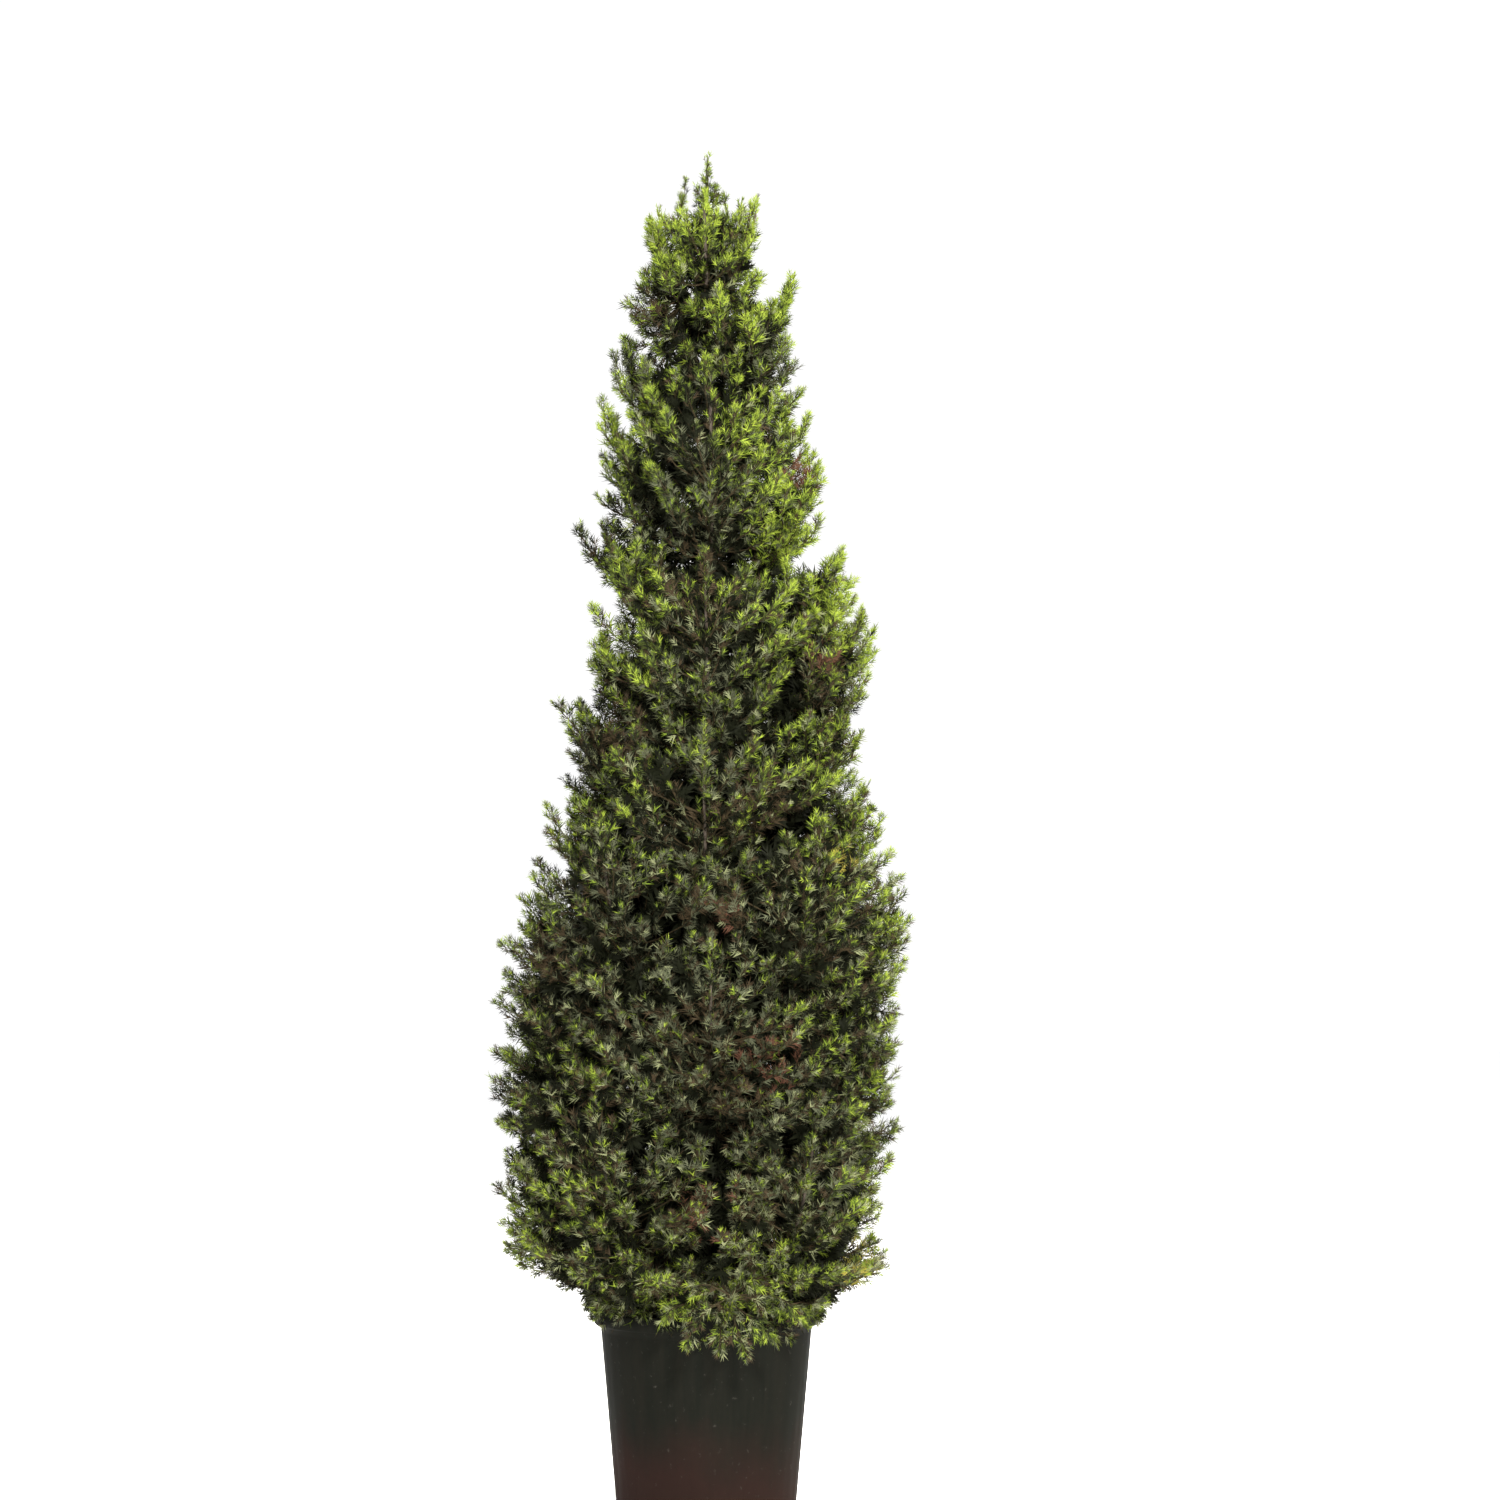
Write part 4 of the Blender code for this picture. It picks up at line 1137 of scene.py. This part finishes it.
def twigs_on(mass, line, plume_length=PLUME_LENGTH):
    """The twigs of one plume, as arrays: foot, heading, flat side, length and place up the plume."""
    length = np.linalg.norm(line[2] - line[0])
    start = max(PLUME_EARLIEST, 1 - plume_length / max(length, 1e-6))
    count = max(TWIGS_LEAST, int(length * (1 - start) / TWIG_SPACING))
    place = (np.arange(count) + mass.random.uniform(0.2, 0.8, count)) / count
    share = start + (BRANCH_SHOWS - start) * place
    foot = on_curve(line, share)
    heading = curve_heading(line, share)
    across = unit(np.cross(heading, mass.random.normal(size=3)))
    other = np.cross(heading, across)
    turn = np.arange(count) * GOLDEN_ANGLE + mass.random.uniform(-TWIG_TURN_PLAY, TWIG_TURN_PLAY, count)
    outward = np.cos(turn)[:, None] * across + np.sin(turn)[:, None] * other
    angle = (TWIG_ANGLE_ROOT + (TWIG_ANGLE_TIP - TWIG_ANGLE_ROOT) * place)[:, None]
    lift = UP * (TWIG_LIFT + TWIG_LIFT_PER_HEIGHT * line[2][2])
    if mass.droops or line[2][2] < FRINGE_TOP:
        lift = -UP * FRINGE_DROOP
    way = unit(np.cos(angle) * heading + np.sin(angle) * outward + lift)
    swell = (TWIG_SWELL_ROOT + TWIG_SWELL_RISE * place) * (1 - place) ** TWIG_SWELL_TAPER
    size = TWIG_LENGTH * swell * mass.random.uniform(*SIZE_PLAY, count) + TWIG_LENGTH_LEAST
    size *= np.clip((LEADER_TIP + FINE_ABOVE - line[2][2]) / FINE_HEIGHT, FINE_LEAST, 1)
    flat = unit(np.cross(way, heading) + mass.random.normal(0, TWIG_ROLL, (count, 3)))
    return foot, way, square_to(flat, way), size, place


def sprays_on(mass, foot, way, flat, size, place):
    """The sprays along twigs, as arrays: root, heading, flat side, length and place up the plume."""
    grown = []
    count = len(foot)
    across = np.cross(flat, way)
    for along, side, part in SPRAY_PLACES:
        angle = SPRAY_ANGLE * abs(side)
        heading = math.cos(angle) * way + side * math.sin(angle) * across
        heading = unit(heading + mass.random.normal(0, SPRAY_PLAY, (count, 3)))
        rolled = flat + SPRAY_ROLL * mass.random.normal(0, 1, (count, 1)) * np.cross(heading, flat)
        root = foot + way * (along * size)[:, None]
        length = (size * part + SPRAY_EXTRA) * mass.random.uniform(*SIZE_PLAY, count)
        grown.append((root, heading, square_to(rolled, heading), length, place + SPRAY_LIGHTER * along))
    return joined(grown)


def inner_sprays(mass, line):
    """The sprays, dark with painted shade, that end an inner branch, as the arrays that sprays_on gives.
    """
    share = mass.random.uniform(*INNER_SHARES, INNER_PER_TIP)
    heading = unit(curve_heading(line, share) + mass.random.normal(0, INNER_SPREAD, (INNER_PER_TIP, 3)))
    flat = unit(np.cross(heading, mass.random.normal(size=(INNER_PER_TIP, 3))))
    length = INNER_LENGTH + INNER_LENGTH_PER_REACH * mass.reach
    size = length * mass.random.uniform(*INNER_PLAY, INNER_PER_TIP)
    return on_curve(line, share), heading, flat, size, np.full(INNER_PER_TIP, -1.0)


def spray_kind(seed, shoot_width):
    """The corners, faces and shades of one spray, which grows along X with Z its flat side.

    A shade says whether a shoot is a tone darker or lighter than the spray: painted shade near its root,
    painted light towards its end.
    """
    random = np.random.default_rng(seed)
    shoots = [END_SHOOT]
    for number in range(SHOOT_COUNT):
        side = 1 if number % 2 else -1
        place = SHOOT_FIRST + SHOOT_SPAN * number / SHOOT_COUNT
        length = SHOOT_LENGTH * (1 - SHOOT_TAPER * place) * random.uniform(*SIZE_PLAY)
        shoots.append((place, side * SHOOT_ANGLE * random.uniform(*SHOOT_ANGLE_PLAY), length))
    points = []
    shades = []
    for place, angle, length in shoots:
        along = np.array((math.cos(angle), math.sin(angle), random.normal(0, SHOOT_SCATTER)))
        across = np.array((-math.sin(angle), math.cos(angle), random.normal(0, SHOOT_SCATTER)))
        root = np.array((place, 0, 0))
        half = across * length * shoot_width / 2
        points += [root + half, root - half, root + along * length]
        shades.append(-1 if place < SHOOT_SHADED else 1 if place > SHOOT_LIT else 0)
    return np.array(points), np.arange(len(points)).reshape(-1, 3), np.array(shades)


def depth_inside(mass, points):
    """How far points lie inside the outer shell of a mass's lobe."""
    if not mass.level:
        return np.full(len(points), TONE_DEPTH / 2)
    return lobe_reach(mass, points[:, 2]) - np.hypot(points[:, 0], points[:, 1])


def tones(mass, roots, places, glow):
    """The colour number of each spray: lighter towards the tips of bright plumes and on the side towards
    the light, as painted light; darker deep in the lobe and in a band round the lower crown, as painted
    shade.
    """
    # Painted shade: sprays deeper inside the lobe's shell get darker tones
    exposed = 1 - np.clip(depth_inside(mass, roots) / TONE_DEPTH, 0, 1)
    # Painted light: sprays on the side of the mass towards the light get lighter tones
    lit = np.clip((roots - mass.centre) @ TONE_LIGHT / mass.reach, -1, 1)
    score = sum(weight * part for weight, part in zip(TONE_WEIGHTS, (places, glow, exposed, lit)))
    score += mass.random.normal(0, TONE_PLAY, len(places))
    # A band of painted shade round the lower crown
    score -= PAINTED_SHADE_BAND * np.clip(1 - np.abs(roots[:, 2] - PAINTED_SHADE_BAND_HEIGHT) / PAINTED_SHADE_BAND_HALF, 0, 1)
    return np.searchsorted(TONE_STEPS, score)


def deal_patches(mass, kinds, roots, places, strays):
    """Change sprays' colour numbers to scattered colours and in patches, among them patches of painted
    light and painted shade.
    """
    names = list(FOLIAGE)
    random = mass.random
    count = len(roots)
    low = np.clip((SCATTER_TOP - roots[:, 2]) / SCATTER_TOP, 0, 1)
    for colour, share in SCATTERED.items():
        kinds[random.uniform(0, 1, count) < share * (SCATTER_LEAST + low)] = names.index(colour)
    in_front = (roots[:, 1] < PATCH_BACK) & (places > 0)
    for colour, patches in PATCHES.items():
        for right, height, radius, share in patches:
            away = np.hypot(roots[:, 0] - right, roots[:, 2] - height)
            near = away < radius * random.uniform(*PATCH_PLAY, count)
            dealt = near & in_front & (random.uniform(0, 1, count) < share)
            # Patches of painted light and painted shade move a spray's tone up or down
            if colour in TONE_SHIFTS:
                toned = dealt & (kinds < len(TONES))
                kinds[toned] = np.clip(kinds[toned] + TONE_SHIFTS[colour], 0, len(TONES) - 1)
            else:
                kinds[dealt] = names.index(colour)
    # Inner sprays take the deepest tone: painted shade
    kinds[places < 0] = 0
    near = (np.linalg.norm(roots[:, None] - strays, axis=2) < STRAY_RADIUS).any(axis=1) & (places > 0)
    kinds[near & (random.uniform(0, 1, count) < STRAY_SHARE)] = names.index("brown")


def stray_patches():
    """Places on the sides and back where sprays have browned."""
    random = np.random.default_rng(77)
    places = []
    for number in range(STRAY_PATCHES):
        azimuth = random.uniform(*STRAY_AZIMUTHS)
        height = random.uniform(*STRAY_HEIGHTS)
        reach = min(STRAY_REACH, STRAY_CONE_RADIUS * (STRAY_CONE_TOP - height) / STRAY_CONE_HEIGHT)
        places.append(direction(azimuth) * reach + UP * height)
    return np.array(places)


def shaded(colours, shades, random):
    """The colour number of each shoot: a tone more or less than its spray's, as painted shade or light and
    at random, unless that has a patch's.
    """
    by_shoot = np.repeat(colours[:, None], len(shades), axis=1)
    lightest = len(TONES) - 1
    play = np.rint(random.normal(0, SHOOT_PLAY, by_shoot.shape)).astype(int)
    toned = np.clip(by_shoot + shades + play, 0, lightest)
    return np.where((by_shoot > 0) & (by_shoot <= lightest), toned, by_shoot)


def make_sprays(mass, masses, kinds_of_spray, materials, strays):
    """A mass's sprays as one piece, and the lines and twigs that carry them."""
    lines = [branch_line(mass, tip) for tip in plume_tips(mass, masses)]
    twigs = [twigs_on(mass, line) for line in lines]
    twigs.append(twigs_on(mass, mass.line(), STEM_PLUME_LENGTH))
    grown = [sprays_on(mass, *twig) for twig in twigs]
    glow = [np.full(len(part[0]), mass.random.uniform(0, 1)) for part in grown]
    inner_lines = [branch_line(mass, tip) for tip in inner_tips(mass, masses)]
    grown += [inner_sprays(mass, line) for line in inner_lines]
    glow += [np.zeros(INNER_PER_TIP)] * len(inner_lines)
    roots, headings, flats, sizes, places = joined(grown)
    colours = tones(mass, roots, places, np.concatenate(glow))
    deal_patches(mass, colours, roots, places, strays)
    kind = mass.random.integers(0, SPRAY_KINDS, len(roots))
    kind[places < 0] = SPRAY_KINDS + kind[places < 0] % INNER_KINDS
    parts = []
    numbers = []
    for number, (shape, corners, shades) in enumerate(kinds_of_spray):
        chosen = kind == number
        heading, flat = headings[chosen], flats[chosen]
        axes = np.stack((heading, np.cross(flat, heading), flat), axis=1)
        turned = np.einsum("vk,nkc->nvc", shape, axes)
        placed = roots[chosen][:, None] + sizes[chosen][:, None, None] * turned
        clear = clear_of_trunk(placed)[:, corners].all(axis=2)
        starts = np.arange(len(placed))[:, None, None] * len(shape)
        parts.append((placed.reshape(-1, 3), (corners + starts)[clear]))
        numbers.append(shaded(colours[chosen], shades, mass.random)[clear])
    points, faces = stacked(parts)
    used, corners = np.unique(faces, return_inverse=True)
    corners = corners.reshape(-1, 3)
    piece = mesh_piece("sprays_" + mass.label, points[used], corners, materials, np.concatenate(numbers))
    finish_piece(piece, "foliage", "foliage_" + mass.label)
    return lines, inner_lines, joined(twigs)


def clear_of_trunk(points):
    """Whether points lie outside the trunk and above the compost or outside the pot."""
    from_trunk = np.linalg.norm((points - trunk_centre(points[..., 2]))[..., :2], axis=-1)
    from_axis = np.hypot(points[..., 0], points[..., 1])
    above = points[..., 2] > POT_HEIGHT + SPACE_GAP
    outside = from_axis > POT_LIP_RADIUS + SPACE_GAP
    return (from_trunk > trunk_radius(points[..., 2])) & (above | outside)


def make_twigs(grown):
    """All branches and twigs in one piece of thin tapering prisms."""
    parts = []
    for outer, inner, (foot, way, flat, size, place) in grown:
        for lines, rings in ((outer, BRANCH_RINGS), (inner, INNER_RINGS)):
            shares = np.linspace(0, BRANCH_SHOWS, rings)
            radii = np.linspace(BRANCH_ROOT_RADIUS, BRANCH_TIP_RADIUS, rings)
            for line in lines:
                points = tube(on_curve(line, shares), radii, BRANCH_SIDES)
                parts.append((points.reshape(-1, 3), grid_faces(rings, BRANCH_SIDES)))
        other = np.cross(way, flat)
        turns = turns_round(BRANCH_SIDES)
        ring = np.stack([math.cos(turn) * flat + math.sin(turn) * other for turn in turns], axis=1)
        low = foot[:, None] + ring * TWIG_ROOT_RADIUS
        high = (foot + way * (size * TWIG_SHOWS)[:, None])[:, None] + ring * TWIG_TIP_RADIUS
        points = np.concatenate((low, high), axis=1)
        starts = points.shape[1] * np.arange(len(points))[:, None, None]
        parts.append((points.reshape(-1, 3), (grid_faces(2, BRANCH_SIDES) + starts).reshape(-1, 4)))
    wood = plain_material("twig_wood", (0.030, 0.023, 0.012), 0.75)
    piece = mesh_piece("twigs", *stacked(parts), [wood])
    finish_piece(piece, "bark")


# Stage, light and camera


def make_stage():
    pale = plain_material("floor_pale", (0.97, 0.97, 0.97), 0.9)
    floor = mesh_piece("floor", FLOOR_CORNERS, [(0, 1, 2, 3)], [pale])


def put(thing, place, target):
    """Place a lamp or camera and aim it."""
    thing.location = place
    thing.rotation_euler = (Vector(target) - Vector(place)).to_track_quat("-Z", "Y").to_euler()


def make_light():
    world = bpy.data.worlds.new("studio")
    world.use_nodes = True
    background = world.node_tree.nodes["Background"]
    background.inputs["Color"].default_value = (1, 1, 1, 1)
    background.inputs["Strength"].default_value = SKY_LIGHT
    bpy.context.scene.world = world
    for name, place, target, size, power, colour in LAMPS:
        light = bpy.data.lights.new(name, "AREA")
        light.shape = "DISK"
        light.size = size
        light.energy = power
        light.color = colour
        put(new_object(name, light), place, target)
    bpy.context.scene.view_settings.view_transform = "Standard"


def make_camera():
    data = bpy.data.cameras.new("view")
    place = Vector((VIEW_RIGHT, -CAMERA_DISTANCE, CAMERA_HEIGHT))
    target = Vector((VIEW_RIGHT, 0, VIEW_HEIGHT))
    data.sensor_width = SENSOR
    data.lens = SENSOR / VIEW_SIZE * (target - place).length
    camera = new_object("view", data)
    put(camera, place, target)
    bpy.context.scene.camera = camera


def make_tree():
    bark = bark_material()
    masses = plan_masses()
    make_trunk(bark)
    make_limbs(masses, bark)
    kinds_of_spray = [spray_kind(seed, SHOOT_WIDTH) for seed in range(SPRAY_KINDS)]
    kinds_of_spray += [spray_kind(seed, INNER_WIDTH) for seed in range(INNER_KINDS)]
    materials = foliage_materials()
    strays = stray_patches()
    make_twigs([make_sprays(mass, masses, kinds_of_spray, materials, strays) for mass in masses])


make_camera()
make_light()
make_stage()
make_pot()
make_compost()
make_tree()
